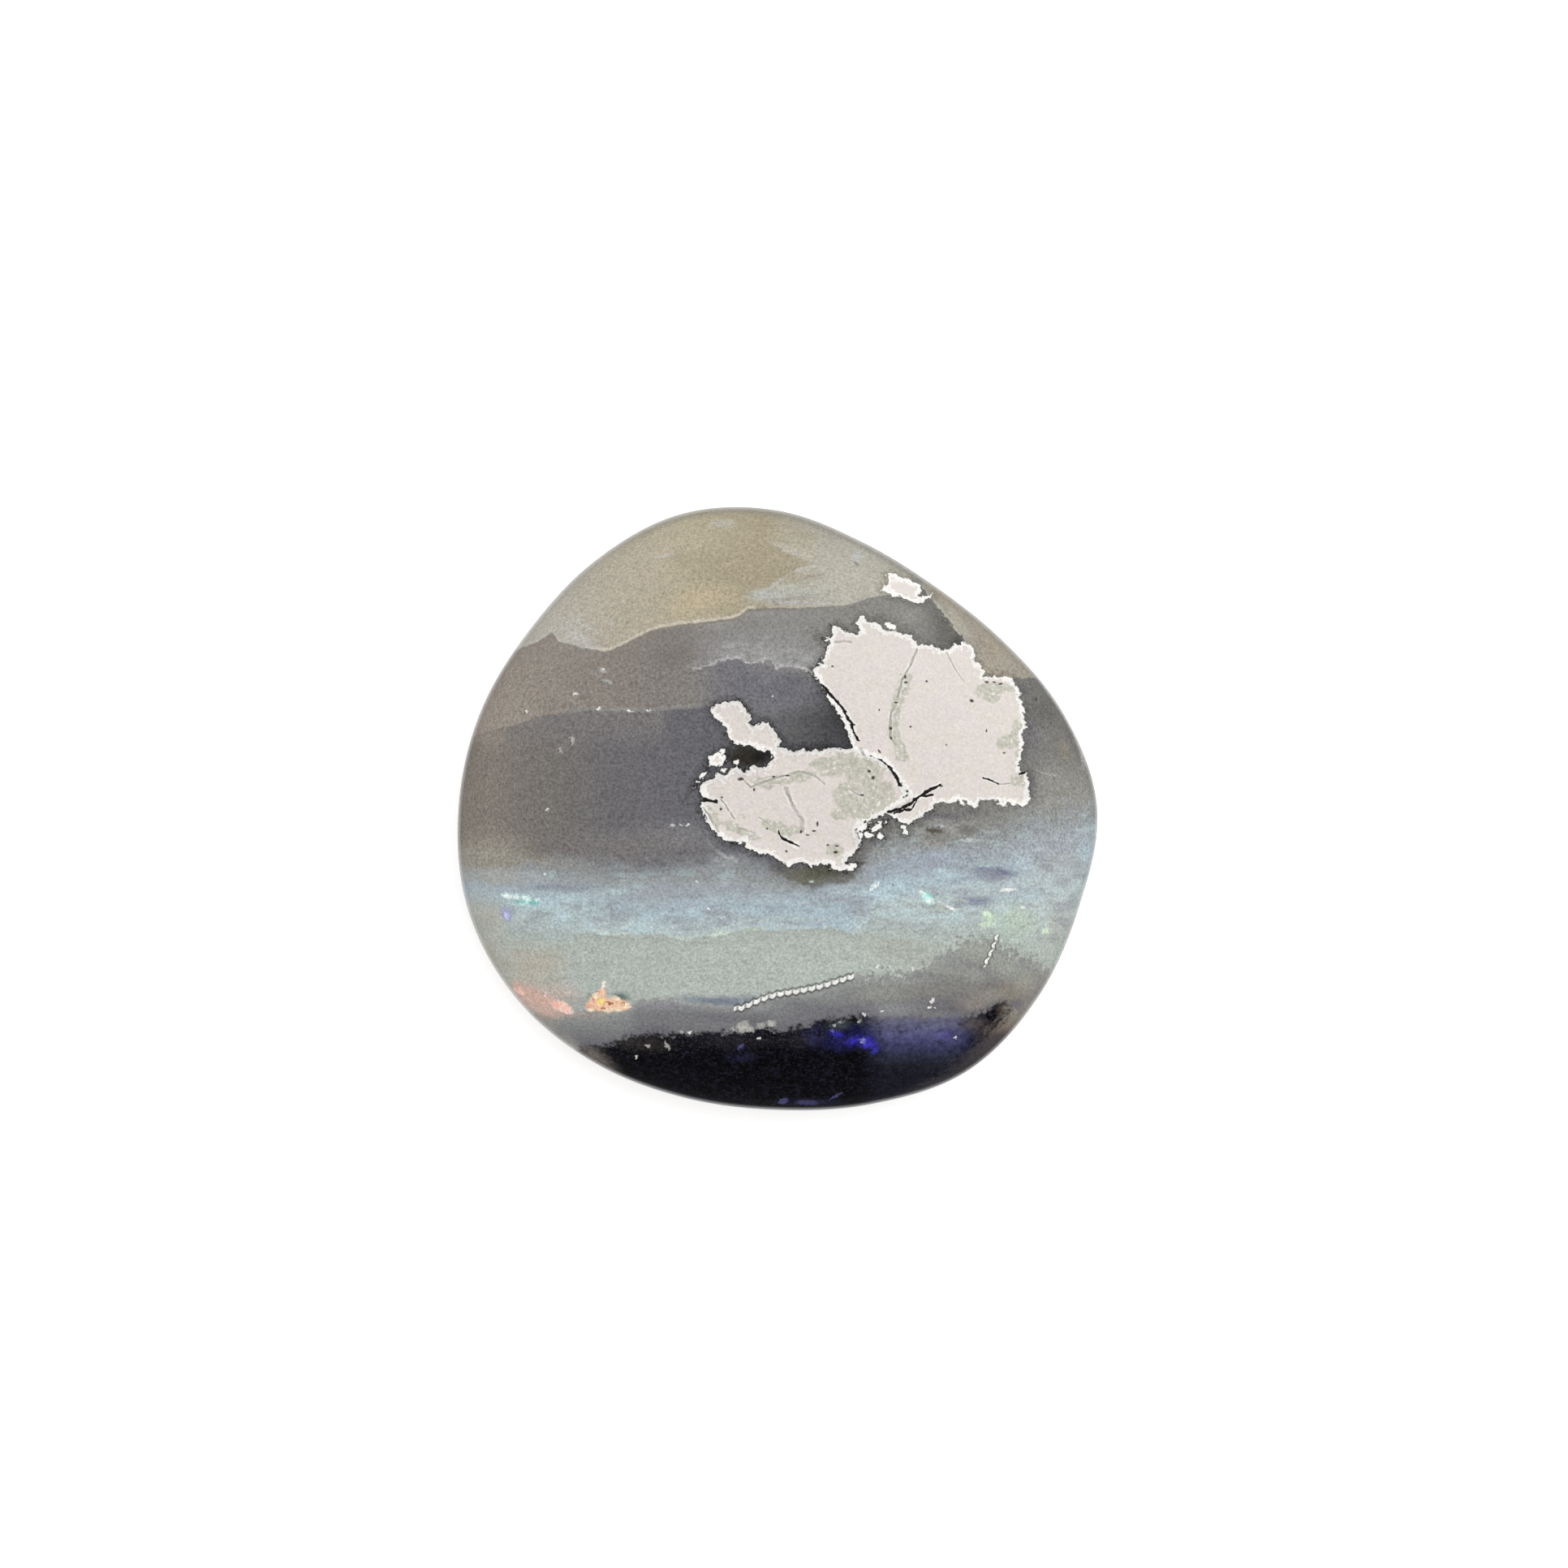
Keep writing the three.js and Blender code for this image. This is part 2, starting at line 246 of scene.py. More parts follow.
# Soft patches of colour in each layer: the X and Y of the middle, two radii, turn in degrees, colour and
# strength. Later ones lie over earlier ones.
OLIVE_GLOWS = [
    (-0.92, 5.24, 1.86, 0.74, -5, "deep olive", 0.9), (-1.65, 4.49, 1.1, 0.46, 12, "amber", 0.9),
    (-4.27, 3.71, 0.71, 0.19, -20, "pale veil", 0.9), (-4.55, 4.08, 0.89, 0.25, -20, "pale veil", 0.4),
    (-2.59, 5.56, 0.62, 0.04, 9, "olive light", 0.5), (1.58, 5.09, 1.06, 0.71, -25, "pale olive", 0.7),
    (-1.13, 6.19, 0.46, 0.16, 5, "veil blue", 0.5), (0.76, 5.04, 0.46, 0.14, 12, "wedge olive", 0.9),
    (0.58, 4.69, 0.82, 0.23, 10, "veil blue", 0.55), (1.77, 5.48, 0.23, 0.16, 0, "veil blue", 0.9),
    (2.53, 5.41, 0.53, 0.25, -30, "cloud", 0.4), (3.08, 4.85, 0.21, 0.43, 30, "dove", 0.9),
    (1.83, 4.49, 0.39, 0.12, 18, "stone", 0.6), (-0.34, 4.65, 0.46, 0.16, 6, "veil blue", 0.9),
    (0.14, 4.74, 0.53, 0.18, 14, "veil blue", 0.7), (0.9, 6.05, 1.1, 0.35, -22, "ash khaki", 0.5),
    (-0.1, 4.55, 0.7, 0.14, 4, "veil blue", 0.8), (-1.98, 5.41, 0.71, 0.25, 10, "deep olive", 0.6),
    (0.58, 5.91, 0.53, 0.18, -20, "facet olive", 0.4),
]
NORTH_EAST_GLOWS = [
    (2.89, 4.17, 0.46, 0.25, -10, "cloud", 0.5), (3.67, 3.96, 0.71, 0.39, -50, "dark flint", 0.8),
    (3.92, 3.64, 0.28, 0.21, -30, "outline", 0.5), (3.03, 3.91, 0.21, 0.25, 0, "flint", 0.5),
    (-0.51, 4.23, 0.43, 0.18, 0, "cloud", 0.7), (-1.3, 4, 0.8, 0.2, 5, "cloud", 0.8),
    (2.2, 4.15, 0.3, 0.2, 0, "flint", 0.7), (2.9, 3.75, 0.4, 0.25, -30, "flint", 0.8),
    (3.6, 3.7, 0.4, 0.3, -40, "dark flint", 0.6),
]
WEDGE_GLOWS = [
    (4.04, 3.96, 0.89, 0.16, -52, "dry olive", 0.9), (4.41, 3.64, 0.82, 0.16, -48, "tan grey", 0.8),
    (4.77, 3.46, 0.6, 0.18, -46, "wedge rust", 0.8), (4.94, 3.25, 0.35, 0.09, -46, "dry olive", 0.4),
    (4.94, 2.9, 0.35, 0.14, -20, "wedge rust", 0.6), (3.6, 4.23, 0.6, 0.19, -50, "light grey", 1),
    (5.02, 3.11, 0.28, 0.53, 35, "ash khaki", 0.5),
]
EAST_GLOWS = [
    (5.79, 2.26, 0.35, 0.6, 24, "dark grey", 0.7), (6.26, 1.25, 0.25, 0.46, 15, "rusty grey", 0.7),
    (6.08, 0.36, 0.64, 0.27, -8, "stone grey", 0.9), (5.55, 1.6, 0.21, 0.97, 4, "plum", 0.8),
    (5.41, 2.58, 0.28, 0.21, 0, "plum", 0.6), (5.92, 0.76, 0.48, 0.05, -14, "pale strip", 0.9),
    # The plum patch at (5.5, 0.5) is painted shade along the host rock's right edge.
    (5.5, 0.5, 0.3, 0.7, 0, "plum", 0.9), (5.75, 2.05, 0.6, 0.45, 0, "dark flint", 0.6),
]
DUSK_GLOWS = [
    (0.9, 2.5, 0.5, 0.35, -60, "deep plum", 0.9), (1.4, 2, 0.5, 0.5, 0, "ink", 0.9),
    (0, 1.25, 1.5, 0.25, 0, "ink", 0.8), (0.05, 2.58, 1.95, 0.74, -8, "dusk", 0.95),
    (-1.01, 1.6, 1.59, 0.89, 0, "deep plum", 0.6), (1.47, 1.69, 1.68, 1.24, -20, "ink", 1),
    (0.5, 1.6, 1.33, 0.8, 10, "ink", 0.5), (1.29, 1.33, 1.24, 0.18, 0, "ink", 0.7),
    (-0.62, 1.07, 0.64, 0.27, 0, "peat", 1), (-0.92, 1.16, 0.53, 0.32, 0, "peat", 0.6),
    (-0.92, 2.58, 1.17, 1.06, 0, "dusk", 0.7), (-1.05, 3.11, 0.71, 0.25, 10, "dusk", 0.6),
    (-0.57, 1.13, 0.71, 0.35, 0, "peat", 1), (-0.3, 1.09, 0.32, 0.25, 0, "outline", 0.8),
    (0.35, 2.8, 0.6, 0.3, 0, "deep plum", 0.8), (0.3, 1.7, 0.9, 0.4, 0, "flint", 0.2),
]
PLUM_GLOWS = [
    (-2.1, 3.28, 0.95, 0.4, 5, "brown shade", 0.8), (-6.15, -0.97, 1.3, 0.7, 0, "moss", 0.9),
    (-2, -0.6, 1.6, 0.5, -4, "ash violet", 0.6), (-6.33, 0.1, 0.71, 1.06, 0, "warm stone", 0.4),
    (-3.31, -0.79, 2.66, 0.6, 0, "lit plum", 0.75), (0.76, -1.46, 1.33, 0.39, 2, "moss dark", 0.9),
    (0.94, -1.36, 0.71, 0.18, 0, "peat moss", 0.5), (-1.01, -1.11, 0.6, 0.25, -20, "ash plum", 0.6),
    (3.42, -0.79, 1.95, 0.25, 2, "ash plum", 0.5), (6.08, 0.36, 0.89, 0.62, 0, "stone grey", 0.6),
    (-1.01, -0.86, 0.6, 0.18, -24, "deep plum", 0.9), (-1.19, -1.18, 0.53, 0.21, -25, "stone blue", 0.6),
    # The plum patch at (3.4, -0.14) is painted shade under the main patch's lower edge.
    (0.94, -1.39, 0.82, 0.25, 2, "peat moss", 0.8), (3.4, -0.14, 1.95, 0.24, 0, "plum", 0.8),
    (2.3, -0.5, 0.5, 0.3, -20, "flint", 0.8), (-6.3, 1.5, 0.5, 0.4, 0, "tan grey", 0.6),
    (-5.4, 2.02, 0.7, 0.12, 8, "tan grey", 0.7), (-6.68, -1.11, 0.99, 0.43, 0, "ash khaki", 1),
    (-5.35, -1.21, 1.42, 0.28, 0, "ash khaki", 0.7),
]
SKY_GLOWS = [
    (-4.55, -2.24, 1.42, 0.35, 0, "aqua", 0.6), (-4.73, -1.73, 1.24, 0.16, 0, "lilac grey", 0.6),
    (-1.72, -2.21, 0.71, 0.39, 0, "sky", 0.9), (0.5, -2.06, 1.68, 0.5, 2, "sky", 1),
    (0.94, -2.31, 1.42, 0.32, 4, "cyan", 0.6), (2.45, -1.78, 1.1, 0.35, 8, "cyan", 0.95),
    (3.33, -1.14, 1.1, 0.28, 3, "lavender", 0.95), (2.27, -1.36, 0.89, 0.21, 10, "lavender", 0.6),
    (4.8, -1.44, 0.74, 0.21, 3, "lilac", 0.9), (6.08, -1.14, 1.06, 0.82, 10, "stone blue", 0.9),
    (5.28, -1.85, 1.06, 0.25, 0, "lavender", 0.45), (5.19, -2.42, 1.1, 0.46, -4, "mint", 0.9),
    (0.05, -2.49, 1.77, 0.12, 3, "aqua", 0.8), (-3.49, -2.6, 1.24, 0.14, 0, "aqua", 0.8),
    (-6.33, -2.38, 0.89, 0.71, -10, "khaki", 0.8), (3.42, -2.17, 0.89, 0.14, 0, "mint", 0.5),
    (6.26, -2.74, 0.89, 1.24, 0, "khaki", 0.6), (2.18, -2.21, 0.71, 0.35, 0, "aqua", 0.5),
    (-6.54, -1.18, 0.89, 0.39, 0, "moss", 0.9), (-5.8, -1.15, 0.8, 0.3, 0, "moss", 0.9),
    (1.2, -1.8, 0.7, 0.25, 0, "sky", 0.9), (0.6, -2.6, 0.8, 0.16, 0, "cyan", 0.9),
    (-2.43, -2.21, 0.71, 0.11, 4, "sky", 0.7), (3.24, -1.28, 0.71, 0.11, 6, "lavender", 0.9),
    (4.57, -1.36, 0.53, 0.12, 0, "lilac", 0.8), (3.95, -1.57, 0.89, 0.09, 8, "lavender", 0.6),
    (1.65, -1.85, 0.92, 0.23, 4, "bright cyan", 0.9), (0.76, -2.22, 1.06, 0.18, 4, "cyan", 0.9),
    (4.31, -2.03, 0.71, 0.16, 0, "lilac", 0.7), (-5.44, -2.42, 0.6, 0.18, 0, "aqua", 0.7),
    (-6.59, -0.97, 0.89, 0.46, 0, "moss", 0.7), (0.05, -2.38, 1.24, 0.16, 3, "aqua", 0.6),
    (-6.15, -1.5, 1.51, 0.35, 0, "pale ash", 1), (-4.73, -1.99, 1.95, 0.43, 0, "pale cyan", 0.45),
]
SEA_GLOWS = [
    (-6.5, -3.36, 0.89, 1.42, -10, "khaki", 0.9), (-5.26, -3.45, 1.24, 0.64, 0, "khaki", 0.6),
    (-4.73, -4.26, 1.51, 0.32, -4, "khaki grey", 0.7), (2.71, -3.09, 1.24, 0.46, -10, "sea khaki", 0.8),
    (-1.22, -4.16, 1.24, 0.16, 0, "blue haze", 0.9), (-3.38, -4.05, 0.3, 0.16, -24, "green shadow", 1),
    (-4.06, -4.12, 0.14, 0.18, -30, "green shadow", 0.7), (-1.36, -4.23, 1.59, 0.25, 0, "blue haze", 0.8),
    (-0.43, -4.25, 0.5, 0.16, 0, "blue haze", 0.8), (-5.3, -3.4, 1.1, 0.8, -10, "warm khaki", 0.55),
    (-4.73, -4.01, 0.74, 0.35, -10, "rose haze", 0.45), (-5.44, -4.01, 0.71, 0.39, -20, "pink haze", 0.7),
    (-5.05, -4.26, 0.53, 0.21, -20, "pink haze", 0.6), (-5.23, -4.12, 0.64, 0.25, -20, "pink haze", 0.7),
]
SLATE_GLOWS = [
    (4.39, -3.13, 0.92, 0.46, 0, "pale slate", 0.95), (3.77, -3.55, 1.06, 0.35, -20, "pale slate", 0.6),
    (3.42, -3.94, 2.3, 0.43, 3, "stone", 0.9), (5.02, -3.94, 0.85, 0.35, 12, "rusty grey", 0.9),
    (0.76, -4.33, 1.59, 0.25, -8, "slate dark", 0.7), (3.07, -4.44, 1.24, 0.14, 0, "plum", 0.5),
    (5.9, -3.71, 0.46, 0.71, -25, "rim tan", 0.7), (5.64, -4.33, 0.53, 0.43, 20, "rim tan", 0.9),
    (3.95, -4.3, 1.06, 0.14, 0, "slate dark", 0.4), (-2.78, -4.51, 1.06, 0.28, 4, "slate dark", 0.5),
    (2.71, -3.77, 1.24, 0.18, 0, "slate light", 0.4), (-2.52, -4.3, 0.78, 0.18, 0, "lavender slate", 0.8),
    (-1.19, -4.55, 2.13, 0.35, 0, "slate dark", 0.9), (4.94, -3.48, 0.78, 0.43, -20, "pale slate", 0.9),
    (5.41, -3.87, 0.39, 0.39, 0, "rim tan", 0.9), (-4.73, -5.13, 0.53, 0.28, 35, "rim tan", 0.6),
    (2.2, -4.05, 1, 0.35, 4, "pale slate", 0.45), (4.3, -3.6, 0.5, 0.25, -10, "pale slate", 0.7),
    (4.5, -4.1, 0.6, 0.3, 0, "rim tan", 0.5), (-0.43, -4.6, 0.5, 0.25, 0, "plum", 0.8),
    (-5, -4.6, 0.5, 0.3, -30, "rim tan", 0.9), (-5.02, -4.79, 0.6, 0.32, -38, "seam shade", 0.9),
    (-4.41, -5.22, 0.53, 0.25, -38, "seam shade", 0.9), (5.19, -4.08, 0.53, 0.18, 20, "rusty grey", 0.8),
    (5.44, -3.84, 0.35, 0.28, 0, "pale slate", 0.5), (5.76, -3.41, 0.43, 0.32, -20, "pale slate", 0.5),
    (3.42, -4.55, 1.06, 0.14, 0, "slate", 0.5), (2.62, -4.39, 0.89, 0.25, 0, "ash light", 0.3),
    (4.22, -4.3, 0.53, 0.21, -10, "tan grey", 0.6), (-4.55, -4.53, 1.06, 0.14, 0, "rose grey", 0.9),
]
BLACK_GLOWS = [
    (-2.96, -5.11, 1.1, 0.27, -4, "mauve grey", 0.6), (-3.97, -5.43, 0.82, 0.3, -35, "rim brown", 1),
    (-1.01, -5.06, 1.42, 0.25, 0, "night grey", 0.9), (0.5, -5.04, 0.78, 0.28, 0, "night grey", 0.8),
    (-0.76, -5.43, 0.5, 0.16, 0, "dark indigo", 0.5), (0.83, -4.94, 0.43, 0.39, 0, "dark indigo", 1),
    (1.36, -4.72, 0.46, 0.16, 5, "dark teal", 0.8), (1.38, -5.08, 0.6, 0.32, 0, "deep indigo", 0.8),
    (1.83, -4.94, 0.53, 0.35, 0, "deep indigo", 0.8), (3.7, -4.94, 0.46, 0.18, -8, "deep violet", 0.5),
    (4.31, -4.72, 0.53, 0.25, -4, "mauve brown", 0.6), (4.94, -4.4, 0.25, 0.25, 0, "rust shade", 1),
    (0.76, -6.41, 0.89, 0.14, 0, "dark indigo", 0.6), (1.29, -4.9, 0.23, 0.12, -20, "flash blue", 0.9),
    (1.65, -5.06, 0.25, 0.16, 20, "flash blue", 0.7), (1.98, -5.11, 0.32, 0.19, -20, "flash blue", 1),
    (2.14, -5.27, 0.14, 0.09, 30, "flash blue", 0.8), (1.86, -5.06, 0.12, 0.07, -20, "flash violet", 0.8),
    (1.22, -4.83, 0.07, 0.05, 0, "flash violet", 0.5),
]

# Thin pale streaks, given in the same way.
STREAKS = [
    (5.02, -1.78, 0.25, 0.05, 6, "white", 0.9), (4.52, -1.8, 0.25, 0.05, 2, "ash light", 0.5),
    (3.7, -2.12, 0.25, 0.05, -25, "white", 0.6), (3.6, -2.19, 0.18, 0.05, -28, "mint", 0.6),
    (5.35, -2.17, 0.07, 0.05, 0, "white", 0.8), (5.64, -2.14, 0.32, 0.05, 6, "ash light", 0.6),
    (-0.48, -2.62, 0.46, 0.05, 5, "mint", 0.9), (0.23, -2.56, 0.53, 0.05, 0, "aqua", 0.6),
    (1.56, -2.67, 0.25, 0.05, -38, "aqua", 0.5), (-1.13, -1.04, 0.28, 0.06, -28, "ash light", 0.5),
    (-0.92, -1.11, 0.18, 0.05, -40, "ash light", 0.5), (-1.36, -0.86, 0.35, 0.05, -38, "ash plum", 0.4),
    (-3.81, -2.72, 0.14, 0.05, 0, "pale cyan", 0.8), (-2.57, -2.76, 0.25, 0.05, 4, "ash light", 0.7),
    (-2.96, -2.79, 0.28, 0.05, 5, "ash light", 0.5), (-3.77, 2.97, 0.14, 0.05, -15, "ash light", 0.6),
    (-3.67, 2.74, 0.18, 0.05, -20, "ash light", 0.6), (-4.48, 2.33, 0.39, 0.05, -25, "cloud light", 0.7),
    (-2.25, -0.38, 0.07, 0.05, 0, "white", 0.5), (3.95, -1.99, 0.35, 0.05, -12, "mint", 0.6),
    (2.3, -3.77, 0.04, 0.16, 0, "slate light", 0.7), (2.18, -3.66, 0.04, 0.09, 0, "slate light", 0.5),
    (0.37, 5.61, 0.64, 0.06, -22, "olive light", 0.9), (0.32, 4.54, 0.71, 0.05, 3, "seam shade", 1),
    (0.76, 4.44, 0.92, 0.05, 2, "pale veil", 0.6), (1.75, 5.31, 0.11, 0.05, -25, "stone", 0.9),
    (-2.48, 5.48, 0.39, 0.05, 10, "pale veil", 0.6), (-4.09, 3.91, 0.53, 0.05, -28, "pale veil", 0.8),
    (-4.34, 3.77, 0.46, 0.05, -20, "pale veil", 0.8), (-4.54, 4.03, 0.39, 0.05, -38, "pale veil", 0.5),
    (-3.63, 4.03, 0.21, 0.05, -45, "pale veil", 0.8), (-3.85, 3.54, 0.32, 0.05, -12, "wedge olive", 0.6),
    (-3.77, 3.02, 0.18, 0.05, -30, "cloud light", 0.6), (-3.93, 2.9, 0.25, 0.05, -30, "cloud light", 0.5),
    (-1.24, -2.72, 0.39, 0.07, 7, "green white", 1), (0.34, 5.57, 0.67, 0.09, -24, "pale olive", 0.9),
    (-0.04, 4.86, 0.44, 0.06, 35, "pale veil", 0.9), (0.6, 5.2, 0.35, 0.06, 18, "pale veil", 0.9),
    (0.35, 4.55, 0.74, 0.04, 1, "seam shade", 0.9), (0.41, 4.46, 0.82, 0.05, 1, "hem light", 0.9),
    (1.29, 4.58, 0.53, 0.05, -4, "pale veil", 0.7), (-4.16, 3.59, 0.53, 0.09, -20, "pale veil", 0.9),
    (-4.34, 3.77, 0.39, 0.05, -32, "pale veil", 0.7), (0.76, -1.6, 0.09, 0.04, 0, "ash light", 0.9),
    (3.26, -1.96, 0.19, 0.11, -48, "chunk", 1), (3.31, -2.03, 0.09, 0.05, -50, "white", 0.8),
    (3.28, -1.94, 0.25, 0.12, -50, "mint flake", 1), (3.17, -1.83, 0.09, 0.04, -20, "white", 0.8),
    (3.37, -2.01, 0.04, 0.11, 20, "white", 0.7), (3.67, -2.1, 0.21, 0.03, -22, "ash light", 0.8),
]

# Small bright flakes and dabs of colour, given in the same way.
DABS = [
    (-5.88, -2.3, 0.16, 0.22, 20, "flash violet", 0.6), (-5.83, -2.24, 0.21, 0.25, 0, "lavender", 0.5),
    (-5.62, -1.96, 0.6, 0.16, -6, "aqua", 0.6), (-5.87, -1.92, 0.16, 0.06, -14, "chunk", 1),
    (-5.67, -1.94, 0.09, 0.09, 0, "teal flash", 1), (-5.42, -1.94, 0.11, 0.06, 10, "chunk", 0.9),
    (-5.33, -2.03, 0.11, 0.06, 0, "teal flash", 0.9), (-5.19, -2.01, 0.08, 0.07, 0, "chunk", 0.9),
    (-5.53, -2.05, 0.16, 0.04, -10, "chunk", 0.6), (-5.62, -2.1, 0.46, 0.03, -5, "chunk", 0.5),
    (2.14, -1.64, 0.14, 0.05, 30, "pale cyan", 1), (2.07, -1.73, 0.11, 0.04, 35, "pale cyan", 0.9),
    (4.57, -2.4, 0.16, 0.21, 0, "green haze", 0.8), (5.19, -2.56, 0.6, 0.43, -10, "green haze", 0.4),
    (4.54, -2.29, 0.11, 0.06, 0, "green flash", 1), (4.52, -2.54, 0.14, 0.09, -10, "green flash", 0.8),
    (5.85, -2.68, 0.11, 0.07, 35, "green flash", 1), (4.86, -2.88, 0.07, 0.05, 0, "green flash", 0.5),
    (1.84, -5.08, 0.04, 0.02, 0, "white", 0.7), (3.88, -4.99, 0.04, 0.04, 0, "white", 0.9),
    (1.38, -4.65, 0.05, 0.04, 0, "ash light", 0.5), (1.81, -4.62, 0.05, 0.04, 0, "ash light", 0.5),
    (-0.78, -5.18, 0.05, 0.09, -40, "flash violet", 0.9),
    (-0.78, -5.18, 0.12, 0.12, -30, "dark indigo", 0.8), (0.14, -6.39, 0.16, 0.09, 20, "flash dusk", 0.7),
    (0.67, -6.42, 0.32, 0.07, 0, "flash dusk", 0.5), (1.28, -6.28, 0.21, 0.03, 28, "flash dusk", 0.7),
    (-5.87, -1.91, 0.16, 0.07, -10, "chunk", 1), (-5.67, -1.92, 0.14, 0.09, 0, "pale cyan", 1),
    (-5.44, -1.98, 0.16, 0.09, -20, "chunk", 1), (-5.26, -2.06, 0.14, 0.07, 0, "teal flash", 0.8),
    (-5.58, -2.03, 0.18, 0.05, -8, "teal flash", 0.7), (-5.87, -2.34, 0.06, 0.13, 25, "violet white", 1),
    (-0.74, -4.71, 0.18, 0.12, 20, "pale veil", 0.7), (-0.57, -4.79, 0.14, 0.09, -30, "pale veil", 0.8),
    (-0.11, -4.67, 0.14, 0.09, 0, "pale veil", 0.7), (-0.34, -4.72, 0.12, 0.09, 0, "pale veil", 0.6),
    (3.54, -0.61, 0.57, 0.23, 0, "lichen grey", 0.8), (3.14, -0.59, 0.12, 0.19, 20, "cloud", 0.9),
    (3.42, -0.77, 0.35, 0.07, -6, "cloud", 0.9), (3.74, -0.82, 0.16, 0.05, -25, "cloud", 0.7),
    (3.54, -0.31, 0.39, 0.11, 0, "cloud", 0.7), (3.83, -0.47, 0.16, 0.23, 0, "cloud", 0.9),
    (3.54, -0.38, 0.18, 0.04, -5, "stone blue", 1), (3.42, -0.49, 0.25, 0.07, -6, "oval", 1),
    (4.13, -0.47, 0.35, 0.23, 0, "cloud", 0.7), (4.13, -0.47, 0.27, 0.16, 0, "flint", 0.9),
    (4.06, -0.33, 0.19, 0.04, 0, "cloud", 0.6), (4.22, -0.7, 0.3, 0.05, 2, "ash light", 1),
    (-5.23, -4.24, 0.74, 0.27, -28, "rose haze", 0.8), (-4.96, -4.14, 0.28, 0.12, -20, "rose haze", 0.7),
    (-5.62, -3.98, 0.18, 0.09, -40, "coral", 0.9), (-4.71, -4.33, 0.3, 0.12, -33, "coral", 1),
    (-4.78, -4.28, 0.14, 0.07, -35, "red flash", 1), (-4.5, -4.44, 0.12, 0.06, -20, "rose white", 0.9),
    (-5.03, -4.05, 0.04, 0.09, -25, "rose white", 1), (-5.41, -4.16, 0.05, 0.04, 0, "rose white", 0.9),
    (-4.55, -4.01, 0.11, 0.04, -5, "rose white", 0.6), (-3.69, -4.28, 0.53, 0.19, 0, "orange", 1),
    (-3.88, -4.17, 0.25, 0.21, 20, "orange", 1), (-3.42, -4.26, 0.3, 0.14, -20, "orange", 1),
    (-3.79, -4, 0.11, 0.14, 0, "orange", 1), (-3.76, -3.85, 0.04, 0.14, -20, "stem", 1),
    (-4.09, -4.3, 0.09, 0.12, -30, "tan orange", 0.8), (-3.92, -4.08, 0.11, 0.07, 0, "pebble", 1),
    (-3.47, -4.14, 0.11, 0.07, -10, "pebble", 1), (-3.26, -4.3, 0.11, 0.07, 0, "pebble", 1),
    (-3.65, -4.39, 0.14, 0.06, 0, "pebble", 1), (-3.44, -4.37, 0.11, 0.06, 0, "pebble", 1),
    (-4.04, -4.39, 0.11, 0.05, 0, "pebble", 1), (-3.83, -4.21, 0.09, 0.12, -20, "sunlit", 1),
    (-3.62, -4.24, 0.12, 0.04, -20, "burnt", 0.9), (-3.76, -4.35, 0.09, 0.03, 10, "burnt", 0.8),
    (-3.99, -4.17, 0.03, 0.07, 20, "burnt", 0.7), (-3.33, -4.24, 0.05, 0.03, 0, "burnt", 0.8),
    (3.19, -1.91, 0.18, 0.08, -52, "chunk", 1), (3.3, -2.01, 0.09, 0.05, -50, "white", 0.8),
    (3.14, -1.83, 0.09, 0.05, -30, "white", 0.7), (3.6, -2.1, 0.21, 0.03, -20, "ash light", 0.9),
    (3.77, -2.17, 0.16, 0.03, -22, "white", 0.8), (4.55, -2.31, 0.11, 0.11, 0, "green flash", 0.8),
    (4.52, -2.54, 0.07, 0.04, 0, "green haze", 0.9), (4.68, -2.44, 0.11, 0.16, 20, "green flash", 0.5),
    (-4.59, -4.33, 0.23, 0.12, -38, "coral", 0.95), (-5.65, -3.87, 0.09, 0.16, 20, "rose", 0.7),
    (-5.85, -1.91, 0.11, 0.05, -25, "white", 0.9), (-5.65, -1.94, 0.07, 0.06, 0, "white", 0.8),
    (-5.44, -1.96, 0.11, 0.04, -10, "white", 0.7), (-5.23, -2.01, 0.07, 0.05, 0, "white", 0.6),
    (2.16, -1.67, 0.11, 0.04, 35, "white", 0.9), (2.06, -1.76, 0.07, 0.03, 30, "white", 0.8),
]

# Specks, chips, stains and pits: the X and Y of the middle, two radii, turn in degrees.
WHITE_SPECKS = [
    (-4.36, 2.47, 0.05, 0.04, 0), (-5.42, 2.1, 0.07, 0.03, -35), (-3.85, 2.15, 0.07, 0.03, 0),
    (-3.76, 3, 0.04, 0.02, 0), (-2.06, -0.36, 0.07, 0.02, -20), (-1.91, -0.38, 0.07, 0.02, 25),
    (-0.07, 2.44, 0.03, 0.03, 0), (-1.72, -1.59, 0.03, 0.03, 0), (-1.47, -2.17, 0.05, 0.04, -20),
    (-5.03, -1.44, 0.03, 0.03, 0), (-1.88, -4.86, 0.05, 0.03, 0), (-0.39, -5.01, 0.04, 0.04, 0),
    (3.38, -4.19, 0.06, 0.06, 0), (3.32, -4.33, 0.04, 0.03, 30), (3.44, -4.33, 0.04, 0.03, 0),
    (2.94, -3.5, 0.05, 0.04, -50), (2.2, -3.45, 0.04, 0.04, 0), (2.46, -3.45, 0.03, 0.04, 0),
    (2.3, -4.41, 0.06, 0.03, 0), (1.9, -4.47, 0.04, 0.03, 0), (-3.05, -5.41, 0.04, 0.03, 0),
    (-4.98, -0.03, 0.03, 0.03, 0), (-3.17, 2.1, 0.09, 0.02, 0), (-2.78, 2.12, 0.05, 0.02, 0),
    (-4.45, -2.92, 0.04, 0.02, 0), (-4.13, -3.13, 0.03, 0.02, 0), (4.28, 0.08, 0.05, 0.05, 0),
    (4.94, 0.06, 0.06, 0.05, 0), (2.82, -0.51, 0.05, 0.05, 0),
]
